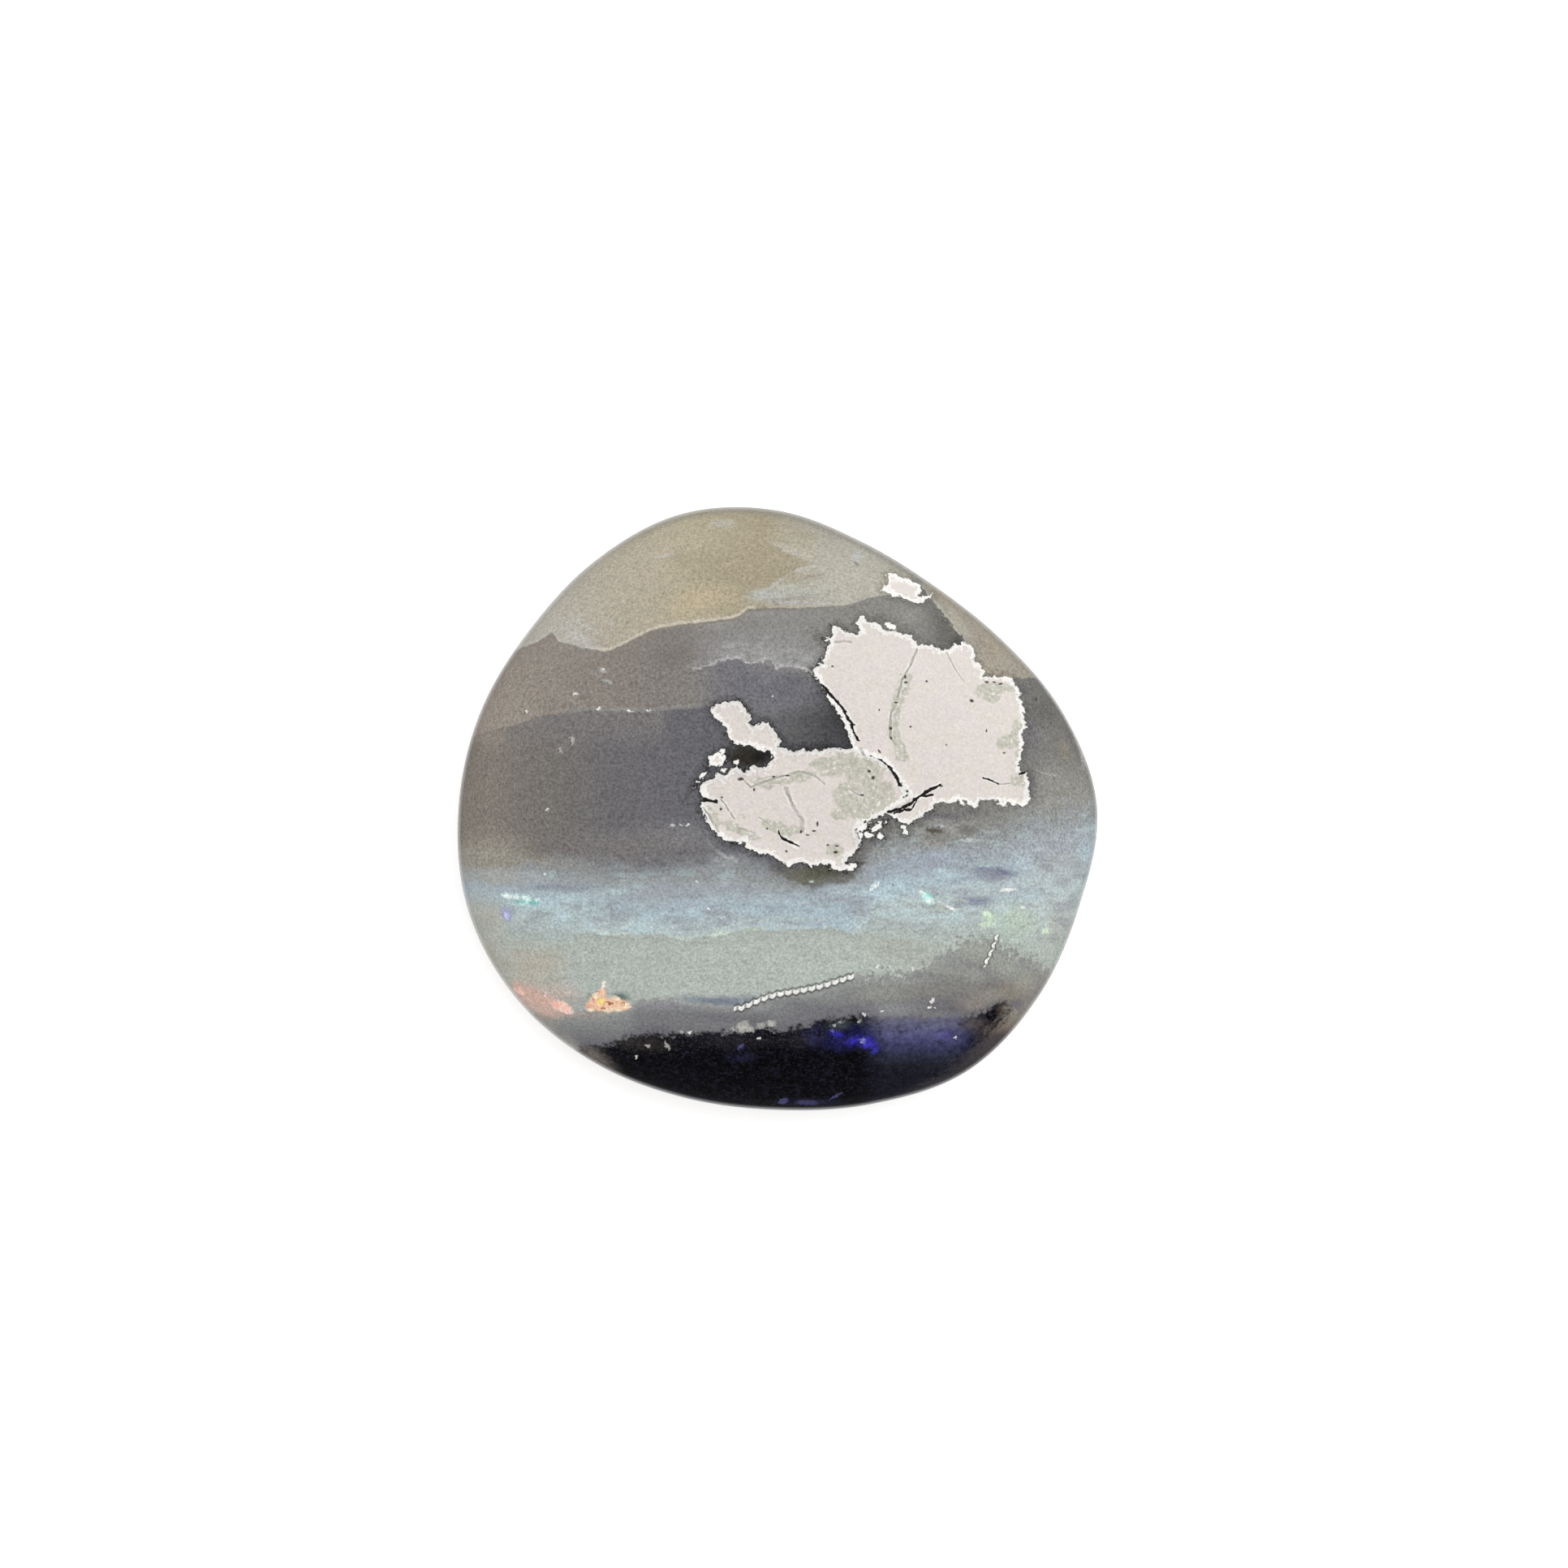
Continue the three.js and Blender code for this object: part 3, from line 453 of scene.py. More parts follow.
DARK_SPECKS = [
    (-1.98, 5.64, 0.04, 0.03, 0), (2.53, -1.67, 0.03, 0.03, 0), (-2.45, 4.65, 0.02, 0.02, 0),
    (-2.99, 2.08, 0.04, 0.02, 0), (5.65, 2.35, 0.02, 0.02, 0), (5.94, 1.85, 0.02, 0.02, 0),
    (0.23, -0.93, 0.03, 0.03, 0),
]
GREY_SPECKS = [
    (-4.43, 1.46, 0.06, 0.14, 12), (-4.68, 1.27, 0.06, 0.08, 0), (-2.37, -5.17, 0.06, 0.12, 32),
    (-2.8, -5.15, 0.07, 0.07, 0), (-0.74, -4.79, 0.11, 0.08, 0), (-0.94, -4.79, 0.07, 0.05, -40),
    (-0.64, -4.81, 0.05, 0.07, 20), (-0.12, -4.67, 0.08, 0.08, 0), (1.79, -4.63, 0.05, 0.04, 0),
    (1.24, -4.72, 0.05, 0.04, 0), (-2.07, -4.86, 0.07, 0.04, 0),
]
ROCK_CHIPS = [
    (-1.29, 1.04, 0.16, 0.14, 0), (-1.17, 1.23, 0.05, 0.04, 30), (-1.13, 1.11, 0.04, 0.04, 0),
    (-0.87, 1, 0.04, 0.04, 0), (-1.15, 0.81, 0.04, 0.03, 0), (-1.63, 0.68, 0.11, 0.03, 55),
    (2.5, 3.94, 0.14, 0.06, -30), (1.84, -0.43, 0.14, 0.05, 35), (2.16, -0.42, 0.16, 0.06, 28),
    (2.23, -0.61, 0.07, 0.06, -30), (2, -0.59, 0.09, 0.05, -20), (1.83, -0.58, 0.05, 0.09, 0),
    (2.8, -0.51, 0.05, 0.05, 0), (1.58, -1.32, 0.07, 0.04, 0), (1.67, -1.23, 0.05, 0.04, 0),
    (1.4, -1.27, 0.16, 0.07, 10), (0.27, -1.2, 0.07, 0.04, 0), (4.01, 0.1, 0.05, 0.04, 0),
    (4.29, 0.03, 0.04, 0.04, 0), (4.86, 0.1, 0.05, 0.04, 0), (2.75, -0.4, 0.04, 0.04, 0),
    (1.61, 2.45, 0.04, 0.02, 0), (1.08, 3.62, 0.05, 0.02, -30),
]
STAINS = [
    (1.29, -0.97, 0.25, 0.14, 0), (4.66, 2.56, 0.46, 0.21, 8), (4.63, 2.44, 0.28, 0.18, -20),
    (5.09, 2.65, 0.21, 0.16, 0), (1.83, 0.89, 0.78, 0.46, -30), (1.29, 0.89, 0.5, 0.28, 10),
    (2.22, 0.36, 0.46, 0.39, -40), (1.65, 0.19, 0.6, 0.43, -20), (1.47, -0.08, 0.39, 0.18, 20),
    (1.93, -0.08, 0.43, 0.25, 0), (0.94, 0.98, 0.32, 0.14, 10), (0.14, 0.63, 0.82, 0.14, 4),
    (-0.3, 0.54, 0.35, 0.14, -20), (0.58, 0.74, 0.35, 0.12, 0), (0.02, -0.43, 0.5, 0.16, -20),
    (0.41, -0.47, 0.25, 0.14, 0), (-0.92, -0.43, 0.43, 0.12, -22), (-1.36, -0.19, 0.11, 0.35, 28),
    (1.26, -0.89, 0.25, 0.16, 0), (-0.57, -0.61, 0.32, 0.07, -12), (5.23, 1.71, 0.14, 0.27, 0),
    (5.05, 1.43, 0.34, 0.21, 10), (5.28, 1.16, 0.12, 0.28, 0), (5.26, 0.59, 0.25, 0.16, 0),
    (2.27, 0.19, 0.46, 0.25, -15), (-1.49, -0.31, 0.12, 0.35, 28),
]
PITS = [
    (-0.78, 0.62, 0.0886, 0.0461, 0), (-0.07, 0.68, 0.0425, 0.0284, 0), (0.23, 0.7, 0.0603, 0.0248, 0),
    (-0.48, 0.4, 0.0354, 0.0461, 0), (-1.21, -0.03, 0.0354, 0.0425, 0), (-1.19, 0.23, 0.039, 0.0266, 0),
    (0.21, -0.93, 0.039, 0.0354, 0), (-0.21, -0.44, 0.039, 0.0248, 0), (0.89, -0.34, 0.0319, 0.0638, 0),
    (0.82, -0.49, 0.0567, 0.0301, 0), (0.67, -0.58, 0.0532, 0.0248, 0), (0.53, -0.52, 0.0319, 0.0496, 0),
    (2, 0.8, 0.0567, 0.0425, -30), (2.09, 0.66, 0.0461, 0.0567, 0), (1.86, 0.29, 0.0567, 0.0248, 0),
    (1.28, -0.95, 0.0603, 0.0461, 0), (1.1, -0.81, 0.039, 0.0284, 0), (1.31, -0.82, 0.0567, 0.0248, 0),
    (3.56, 0.48, 0.0461, 0.0354, 0), (4.24, 2.32, 0.0567, 0.039, -30), (4.57, 2.74, 0.0638, 0.0354, 0),
    (4.87, 2.7, 0.0603, 0.0319, 0), (4.73, 2.74, 0.0532, 0.0213, 0), (3.26, 2.75, 0.0319, 0.0319, 0),
    (3.69, 1.36, 0.0248, 0.0248, 0), (4.55, 1.67, 0.0248, 0.0532, 0), (4.94, 1.2, 0.039, 0.0284, 0),
    (5.26, 0.92, 0.0425, 0.0319, 0), (2.78, 2.84, 0.0319, 0.0532, 0), (2.8, 2.72, 0.0532, 0.0284, 0),
    (2.59, 2.29, 0.0532, 0.0248, 0), (2.48, 1.72, 0.0461, 0.0496, 0), (2.48, 1.52, 0.0284, 0.0461, 0),
    (2.91, 1.76, 0.039, 0.0284, 0), (2.23, 2.13, 0.0248, 0.0248, 0), (1.21, 3.07, 0.039, 0.0248, 0),
    (0.98, 3.15, 0.078, 0.0354, -30), (2.22, 1.23, 0.0673, 0.0284, -50),
]

# Lines: the way each goes, its points and half its width.
STAINED_BANDS = [
    ("y", [(2.71, 1.04), (2.66, 1.34), (2.53, 1.59), (2.53, 1.87), (2.57, 2.12), (2.66, 2.42),
           (2.78, 2.72), (2.84, 2.9)], 0.13),
]
CRACKS = [
    ("y", [(1.78, 1.46), (1.67, 1.66), (1.62, 1.82)], 0.03),
    ("y", [(1.68, 1.8), (1.55, 1.92), (1.46, 2.12), (1.34, 2.26), (1.24, 2.37), (0.99, 2.67)], 0.034),
    ("y", [(2.67, 0.47), (2.58, 0.69), (2.43, 0.91), (2.22, 1.06)], 0.032),
    ("x", [(2.39, -0.1), (2.76, 0.01), (2.94, 0.12), (3.15, 0.29), (3.3, 0.38), (3.56, 0.51)], 0.028),
    ("x", [(2.94, 0.18), (3.15, 0.26), (3.4, 0.29)], 0.022),
    ("x", [(2.53, -0.13), (2.76, -0.04), (2.91, -0.03), (3.05, 0.17)], 0.022),
    ("x", [(-1.68, 0.19), (-1.51, 0.17), (-1.29, 0.13)], 0.028),
    ("x", [(0.04, -0.51), (0.11, -0.63), (0.26, -0.72), (0.48, -0.83)], 0.03),
    ("x", [(5.26, 0.74), (5.49, 0.81)], 0.02),
    ("x", [(4.47, 0.65), (4.59, 0.62), (4.82, 0.52)], 0.017),
]
# The folds are painted shade along creases in the host rock.
SHADED_FOLDS = [
    ("y", [(2.6, 1.36), (2.47, 1.53), (2.46, 1.71), (2.48, 2.05), (2.6, 2.29), (2.68, 2.61),
           (2.75, 2.84), (2.91, 3.1), (3.05, 3.45)], 0.025),
    ("y", [(4.08, 2.74), (3.88, 3), (3.69, 3.38)], 0.016),
    ("x", [(4.82, 0.52), (4.94, 0.52), (5.07, 0.54)], 0.017),
    ("y", [(-0.91, -0.24), (-1.07, 0), (-1.21, 0.19)], 0.022),
    ("y", [(-1.25, -0.52), (-1.4, -0.27), (-1.59, 0.03)], 0.028),
    ("x", [(-0.39, -0.2), (-0.25, -0.29), (-0.11, -0.38)], 0.016),
    ("y", [(0.55, -0.52), (0.56, -0.25), (0.38, 0), (0.26, 0.25), (0.19, 0.46)], 0.034),
    ("x", [(-0.71, 0.59), (-0.55, 0.45), (-0.41, 0.51), (-0.12, 0.63), (0.23, 0.72), (0.5, 0.79),
           (0.82, 0.7), (1.05, 0.52)], 0.024),
    ("x", [(1.58, 0.42), (1.75, 0.31), (1.88, 0.26)], 0.016),
    ("x", [(-0.83, -0.43), (-0.64, -0.49), (-0.46, -0.54)], 0.016),
    ("x", [(1.26, 3.59), (1.44, 3.62), (1.65, 3.61)], 0.02),
    ("y", [(1.9, 1.13), (1.81, 1.31)], 0.03),
]
THREADS = [
    ("x", [(-0.92, -4.33), (-0.74, -4.31), (-0.48, -4.19), (-0.21, -4.08), (0.05, -4.01), (0.5, -3.94),
          (0.94, -3.85), (1.29, -3.74), (1.67, -3.62)], 0.05),
    ("y", [(4.53, -3.45), (4.71, -3.06), (4.82, -2.76)], 0.034),
]

# The threads' zigzag: its length in mm and how steep it is.
THREAD_WAVE = 0.17
THREAD_SWING = 0.5

PAST_END = 9  # how many half widths away a place past a line's ends counts as

# The crack that the olive wedge lies past: a point on it and the way across it.
CRACK_X, CRACK_Y = 3.54, 4.35
CRACK_ACROSS = (0.79, 0.612)
WEDGE_SEAM = 2.83  # the height of the level seam under that wedge

# The host rock's surface.
CHALK_LUMPS_PER_MM = 2.2
CHALK_LUMP_HEIGHT = 0.03

# The bake's chart: the side of the dome's square, and how far the flat back fills the corner beside it.
CHART_SIDE = 0.8
CHART_BACK_FILL = 0.9

# The finish.
OPAL_IOR = 1.45
POLISH_ROUGHNESS = 0.1
CHALK_ROUGHNESS = 0.8
GROUND_ROUGHNESS = 0.45
CHALK_GRAIN_HEIGHT = 0.05
GROUND_HEIGHT = 0.04
GRAINS_PER_MM = 18
GRAIN = 1.3  # how far the grain makes the colour lighter and darker
MOTTLES_PER_MM = 8
MOTTLE = 0.35  # the same for larger mottles

# The studio.
FLOOR_RADIUS = 0.15  # metres
FLOOR_CORNERS = 96
FLOOR_COLOUR = (0.92, 0.92, 0.92, 1)
FLOOR_ROUGHNESS = 0.9
FLOOR_GLOW = 0.5
WHITE = (1, 1, 1, 1)
AMBIENT = 0.65
REFLECTED_SKY, REFLECTED_HORIZON, REFLECTED_FLOOR = 0.05, 0.3, 0.6
LIGHT_BOUNCES = 3
NOISE_ALLOWED = 0.03  # at which a pixel gets no more samples
KEY_ENERGY = 1.17
KEY_ANGLE = 60
KEY_TILT = (-18, 14, 0)
LENS, SENSOR = 400, 36
VIEW_REACH = 10  # metres
FRAME_WIDTH = 34.24  # what the camera sees at the girdle
FRAME_CENTRE = (0.16, 0.52)


# ---- The skin ----


def girdle_radius(azimuth):
    """A closed Catmull-Rom curve through GIRDLE_RADII."""
    radii = np.array(GIRDLE_RADII)
    place = azimuth / (2 * np.pi) % 1 * len(radii)
    index = np.floor(place).astype(int)
    f = place - index
    a, b, c, d = (radii[(index + step) % len(radii)] for step in (-1, 0, 1, 2))
    return 0.5 * (2 * b + (c - a) * f + (2 * a - 5 * b + 4 * c - d) * f**2 + (3 * b - a - 3 * c + d) * f**3)


def signed_distance(outline, x, y):
    """Distance from each (x, y) to an outline, negative inside it."""
    nearest = np.full(x.shape, np.inf)
    inside = np.zeros(x.shape, bool)
    for (ax, ay), (bx, by) in zip(outline, outline[1:] + outline[:1]):
        along = ((x - ax) * (bx - ax) + (y - ay) * (by - ay)) / ((bx - ax) ** 2 + (by - ay) ** 2)
        t = np.clip(along, 0, 1)
        nearest = np.minimum(nearest, np.hypot(x - ax - t * (bx - ax), y - ay - t * (by - ay)))
        if ay != by:
            inside ^= ((ay > y) != (by > y)) & (x < ax + (y - ay) * (bx - ax) / (by - ay))
    return np.where(inside, -nearest, nearest)


def rock_distance(x, y):
    return np.minimum.reduce([signed_distance(outline, x, y) for outline in HOST_ROCK.values()])


def smoothstep(value, low, high):
    t = np.clip((value - low) / (high - low), 0, 1)
    return t * t * (3 - 2 * t)


def chalk_lumps(x, y):
    """Small lumps of the host rock's surface."""
    places = np.column_stack([x * CHALK_LUMPS_PER_MM, y * CHALK_LUMPS_PER_MM, np.zeros(x.shape)])
    return CHALK_LUMP_HEIGHT * np.array([noise.fractal(place, 0.8, 2.1, 4) for place in places])


def dome_points(azimuth, share, lift):
    """Points of the dome, share of the girdle radius out and lift of the dome's height up."""
    radius = girdle_radius(azimuth) * share
    x = radius * np.cos(azimuth) + CROWN_SHIFT[0] * (1 - share)
    y = radius * np.sin(azimuth) + CROWN_SHIFT[1] * (1 - share)
    swell = np.sin(SWELL["across_x"] * x + SWELL["turn"]) * np.cos(SWELL["across_y"] * y - SWELL["turn"])
    in_rock = smoothstep(-rock_distance(x, y), -LEDGE_OUTSIDE, LEDGE_INSIDE)
    relief = SWELL["height"] * swell - in_rock * (HOLLOW_DEPTH - chalk_lumps(x, y))
    return np.column_stack([x, y, GIRDLE_HEIGHT + (DOME_HEIGHT + relief) * lift])


def under_points(azimuth, turn):
    """Points of the underside's round edge, from the girdle (turn 0) in to the flat back (a quarter turn)."""
    radius = girdle_radius(azimuth) * (BACK_SHARE + (1 - BACK_SHARE) * math.cos(turn))
    height = np.full(azimuth.shape, GIRDLE_HEIGHT * (1 - math.sin(turn)))
    return np.column_stack([radius * np.cos(azimuth), radius * np.sin(azimuth), height])


def square_grid():
    """The dome's square grid, bent round: ring n of it holds 8n points, evenly spaced in azimuth."""
    steps = np.arange(-DOME_RINGS, DOME_RINGS + 1)
    i, j = (step.ravel() for step in np.meshgrid(steps, steps, indexing="ij"))
    ring = np.maximum(abs(i), abs(j))
    corner = np.pi / 4
    along_i, along_j = corner * i / np.maximum(ring, 1), corner * j / np.maximum(ring, 1)
    sides = [i == ring, j == ring, i == -ring]
    azimuth = np.select(sides, [along_j, 2 * corner - along_i, 4 * corner - along_j], 6 * corner + along_i)
    return np.column_stack([i, j]), ring, azimuth % (2 * np.pi)


def skin_rows():
    """Every point of the skin, its place on the bake's square chart, and the last grid ring in order."""
    grid, ring, azimuth = square_grid()
    share = DOME_EDGE * ring / DOME_RINGS
    points = [dome_points(azimuth, share, (1 - share**DOME_FULLNESS) ** (1 / DOME_FULLNESS))]
    chart = [grid.astype(float)]
    rim = np.flatnonzero(ring == DOME_RINGS)
    rim = rim[np.argsort(azimuth[rim])]
    around, start = azimuth[rim], math.acos(DOME_EDGE ** (DOME_FULLNESS / 2))
    for row in range(1, FLANK_ROWS + 1):
        turn = start * (1 - row / FLANK_ROWS)
        share, lift = (part ** (2 / DOME_FULLNESS) for part in (math.cos(turn), math.sin(turn)))
        points.append(dome_points(around, share, lift))
    for row in range(1, UNDER_ROWS + 1):
        points.append(under_points(around, math.pi / 2 * row / UNDER_ROWS))
    for row in range(1, FLANK_ROWS + UNDER_ROWS + 1):
        chart.append(grid[rim] * (1 + row / DOME_RINGS))
    return np.vstack(points), np.vstack(chart), rim


def skin_faces(rim):
    """The grid's cells, the rows of cells round it down to the flat back, and the back as one face."""
    side = 2 * DOME_RINGS + 1
    ids = np.arange(side * side).reshape(side, side)
    cells = np.dstack([ids[:-1, :-1], ids[1:, :-1], ids[1:, 1:], ids[:-1, 1:]]).reshape(-1, 4)
    rows = [rim]
    for row in range(FLANK_ROWS + UNDER_ROWS):
        rows.append(side * side + row * len(rim) + np.arange(len(rim)))
    faces = cells.tolist()
    for inner, outer in zip(rows, rows[1:]):
        faces += np.column_stack([inner, outer, np.roll(outer, -1), np.roll(inner, -1)]).tolist()
    return faces + [rows[-1][::-1].tolist()]


def chart_stone(mesh, chart, back_face):
    """A map for baking: the dome and flank fill most of it, and the flat back has the corner."""
    reach = DOME_RINGS + FLANK_ROWS + UNDER_ROWS
    corner_vertices = np.zeros(len(mesh.loops), int)
    mesh.loops.foreach_get("vertex_index", corner_vertices)
    places = CHART_SIDE / 2 * (1 + chart[corner_vertices] / reach)
    first = mesh.polygons[back_face].loop_start
    outward = chart[corner_vertices[first:]] / reach
    outward /= np.hypot(*outward.T)[:, None]
    places[first:] = 1 - (1 - CHART_SIDE) / 2 * (1 - CHART_BACK_FILL * outward)
    mesh.uv_layers.new(name="OFBake").uv.foreach_set("vector", places.astype(np.float32).ravel())


def make_skin():
    """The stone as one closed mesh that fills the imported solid's box."""
    points, chart, rim = skin_rows()
    low, high = (np.array(corner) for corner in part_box("boulder_opal"))
    own_low, own_high = points.min(0), points.max(0)
    placed = low + (points - own_low) / (own_high - own_low) * (high - low)
    mesh = bpy.data.meshes.new("polished_stone")
    faces = skin_faces(rim)
    mesh.from_pydata(placed.tolist(), [], faces)
    mesh.shade_smooth()
    edge = mesh.attributes.new("rock_distance", "FLOAT", "POINT")
    edge.data.foreach_set("value", rock_distance(points[:, 0], points[:, 1]).astype(np.float32))
    chart_stone(mesh, chart, len(faces) - 1)
    stone = bpy.data.objects.new("polished_stone", mesh)
    bpy.context.scene.collection.objects.link(stone)
    return stone


# ---- Node graphs ----


# Which of the mix node's inputs are its factor and two colours, and which output is the mixed colour.
MIX_COLOUR_INPUTS = (0, 6, 7)
MIX_COLOUR_OUTPUT = 2


class Field:
    """A number that varies over a surface: a node's output that takes part in sums."""

    def __init__(self, graph, socket):
        self.graph, self.socket = graph, socket

    def __add__(self, other):
        return self.graph.math("ADD", self, other)

    def __sub__(self, other):
        return self.graph.math("SUBTRACT", self, other)

    def __mul__(self, other):
        return self.graph.math("MULTIPLY", self, other)

    def __neg__(self):
        return self * -1

    def __abs__(self):
        return self.graph.math("ABSOLUTE", self)

    def __or__(self, other):
        return self.graph.math("MAXIMUM", self, other)

    def __and__(self, other):
        return self.graph.math("MINIMUM", self, other)

    def rise(self, low, high):
        """0 up to low and 1 from high, smooth between; low may be above high."""
        values = [self, low, high, 0, 1]
        node = self.graph.node("ShaderNodeMapRange", values, interpolation_type="SMOOTHSTEP", clamp=False)
        return Field(self.graph, node.outputs[0])

    def within(self, low, high, soft):
        """1 between low and high, falling to 0 over soft outside them."""
        return self.rise(low - soft, low) * self.rise(high + soft, high)


class Graph:
    """Adds nodes to a node tree. What its methods return can be plugged into the next node."""

    def __init__(self, tree):
        self.tree = tree

    def plug(self, socket, value):
        if isinstance(value, Field):
            value = value.socket
        if isinstance(value, bpy.types.NodeSocket):
            self.tree.links.new(value, socket)
        else:
            socket.default_value = value

    def node(self, kind, values=(), **settings):
        """A node, its first inputs given in order; None leaves one as it is."""
        made = self.tree.nodes.new(kind)
        for name, value in settings.items():
            setattr(made, name, value)
        for socket, value in zip(made.inputs, values):
            if value is not None:
                self.plug(socket, value)
        return made

    def math(self, operation, *values):
        return Field(self, self.node("ShaderNodeMath", values, operation=operation).outputs[0])

    def stretched(self, point, sizes):
        """The point times one number for each axis."""
        return self.node("ShaderNodeMapping", [point, None, None, sizes]).outputs[0]

    def parts(self, value, kind="XYZ"):
        return [Field(self, part) for part in self.node("ShaderNodeSeparate" + kind, [value]).outputs]

    def noise(self, point, per_mm, detail=2.0, roughness=0.5):
        """Noise about 0, from -0.5 to 0.5, at a point in metres."""
        made = self.node("ShaderNodeTexNoise", [point, None, per_mm / MM, detail, roughness])
        return Field(self, made.outputs[0]) - 0.5

    def colour_noise(self, point, per_mm, detail=2.0, roughness=0.5):
        """Three noises from 0 to 1, as a colour."""
        return self.node("ShaderNodeTexNoise", [point, None, per_mm / MM, detail, roughness]).outputs[1]

    def shaken(self, place, noise, reach):
        """The (x, y) place moved by up to half of reach each way."""
        parts = self.parts(noise, "Color")
        return tuple(along + (part - 0.5) * reach for along, part in zip(place, parts))

    def curve(self, x, points):
        """The height above X of a line through points."""
        start, end = points[0][0], points[-1][0]
        low, high = (pick(height for _, height in points) for pick in (min, max))
        made = self.node("ShaderNodeFloatCurve", [1, (x - start) * (1 / (end - start))])
        made.mapping.extend = "HORIZONTAL"
        track = made.mapping.curves[0].points
        while len(track) < len(points):
            track.new(0.5, 0.5)
        for point, (at, height) in zip(track, points):
            point.location = ((at - start) / (end - start), (height - low) / (high - low))
            point.handle_type = "VECTOR"
        made.mapping.update()
        return Field(self, made.outputs[0]) * (high - low) + low

    def shaded(self, base, brightness):
        """The colour times one number."""
        return self.node("ShaderNodeHueSaturation", [None, None, brightness, 1, base]).outputs[0]

    def blend(self, base, over, mask):
        """base where mask is 0 and over where it is 1."""
        made = self.node("ShaderNodeMix", data_type="RGBA")
        for index, value in zip(MIX_COLOUR_INPUTS, (mask, base, over)):
            self.plug(made.inputs[index], value)
        return made.outputs[MIX_COLOUR_OUTPUT]

    def paint(self, base, name, mask):
        """A palette colour over base."""
        return self.blend(base, colour(name), mask)

    def ramp(self, value, stops):
        """Named colours over value, as (place, colour), in order."""
        low, high = stops[0][0], stops[-1][0]
        made = self.node("ShaderNodeValToRGB", [(value - low) * (1 / (high - low))])
        elements = made.color_ramp.elements
        while len(elements) < len(stops):
            elements.new(0.5)
        for element, (at, name) in zip(elements, stops):
            element.position = (at - low) / (high - low)
            element.color = colour(name)
        return made.outputs[0]

    def ellipse(self, place, ellipse):
        """How far out in an ellipse an (x, y) place is: 0 at its middle and 1 at its edge."""
        x, y, *radii, turn = ellipse
        values = [*place]
        for radius, angle in zip(radii, (math.radians(turn), math.radians(turn + 90))):
            across_x, across_y = math.cos(angle) / radius, math.sin(angle) / radius
            values += [across_x, across_y, -x * across_x - y * across_y]
        return Field(self, self.node("ShaderNodeGroup", values, node_tree=ellipse_tree()).outputs[0])

    def spot(self, place, ellipse, soft):
        """1 in an ellipse, falling to 0 at its edge over soft of its radius."""
        return self.ellipse(place, ellipse).rise(1, 1 - soft)


@functools.cache
def ellipse_tree():
    """The node group behind Graph.ellipse: two sloping sums of X and Y, and their length."""
    tree = bpy.data.node_groups.new("ellipse", "ShaderNodeTree")
    names = ["X", "Y", "Long X", "Long Y", "Long offset", "Short X", "Short Y", "Short offset"]
    for name in names:
        tree.interface.new_socket(name, in_out="INPUT", socket_type="NodeSocketFloat")
    tree.interface.new_socket("Distance", in_out="OUTPUT", socket_type="NodeSocketFloat")
    graph = Graph(tree)
    inputs = [Field(graph, socket) for socket in graph.node("NodeGroupInput").outputs[:len(names)]]
    x, y = inputs[:2]
    squares = 0
    for across_x, across_y, offset in (inputs[2:5], inputs[5:]):
        along = graph.math("MULTIPLY_ADD", x, across_x, graph.math("MULTIPLY_ADD", y, across_y, offset))
        squares = graph.math("MULTIPLY_ADD", along, along, squares)
    graph.node("NodeGroupOutput", [graph.math("SQRT", squares)])
    return tree


# ---- The stone's colours ----


def colour(name):
    """A palette colour as Blender's linear red, green and blue, and alpha."""
    parts = [value / 255 for value in COLOURS[name]]
    return (*(part / 12.92 if part <= 0.04045 else ((part + 0.055) / 1.055) ** 2.4 for part in parts), 1)


class Places:
    """Where a point of the surface is, in mm: as it is, drifting, uneven, and torn into small jags."""

    def __init__(self, graph):
        self.point = graph.node("ShaderNodeTexCoord").outputs["Object"]
        self.x, self.y, self.z = (part * (1 / MM) for part in graph.parts(self.point))
        self.flat = self.x, self.y
        self.soft = graph.shaken(self.flat, graph.colour_noise(self.point, 0.9), 0.3)
        self.calm = graph.shaken(self.flat, graph.colour_noise(self.point, 5), 0.06)
        self.torn = graph.shaken(self.flat, graph.colour_noise(self.point, 9, 3, 0.6), 0.22)


def grouped(graph, build, *colours):
    """What build returns for a graph, a place and colours, made in a node group of its own."""
    tree = bpy.data.node_groups.new(build.__name__, "ShaderNodeTree")
    inner = Graph(tree)
    for index in range(len(colours)):
        tree.interface.new_socket(f"Colour {index}", in_out="INPUT", socket_type="NodeSocketColor")
    given = inner.node("NodeGroupInput").outputs[:len(colours)]
    results = build(inner, Places(inner), *given)
    for index, result in enumerate(results):
        kind = "NodeSocketFloat" if isinstance(result, Field) else "NodeSocketColor"
        tree.interface.new_socket(f"Result {index}", in_out="OUTPUT", socket_type=kind)
    inner.node("NodeGroupOutput", results)
    sockets = graph.node("ShaderNodeGroup", colours, node_tree=tree).outputs
    return [Field(graph, made) if made.type == "VALUE" else made for made in sockets]


def glows(graph, place, base, table, soft=1):
    """Patches of colour over base, by default soft ones."""
    for *ellipse, name, strength in table:
        base = graph.paint(base, name, graph.spot(place, ellipse, soft) * strength)
    return base


def spots(graph, place, table, soft=0.5):
    """A mask of many small spots."""
    total = graph.spot(place, table[0], soft)
    for ellipse in table[1:]:
        total = total | graph.spot(place, ellipse, soft)
    return total


def from_line(graph, place, axis, points, half_width):
    """How many half widths a place is from a line that goes along X or Y."""
    along, across = place
    if axis == "y":
        along, across = across, along
        points = [(y, x) for x, y in points]
    past_end = along.within(points[0][0], points[-1][0], half_width) * -PAST_END + PAST_END
    return abs(across - graph.curve(along, points)) * (1 / half_width) + past_end


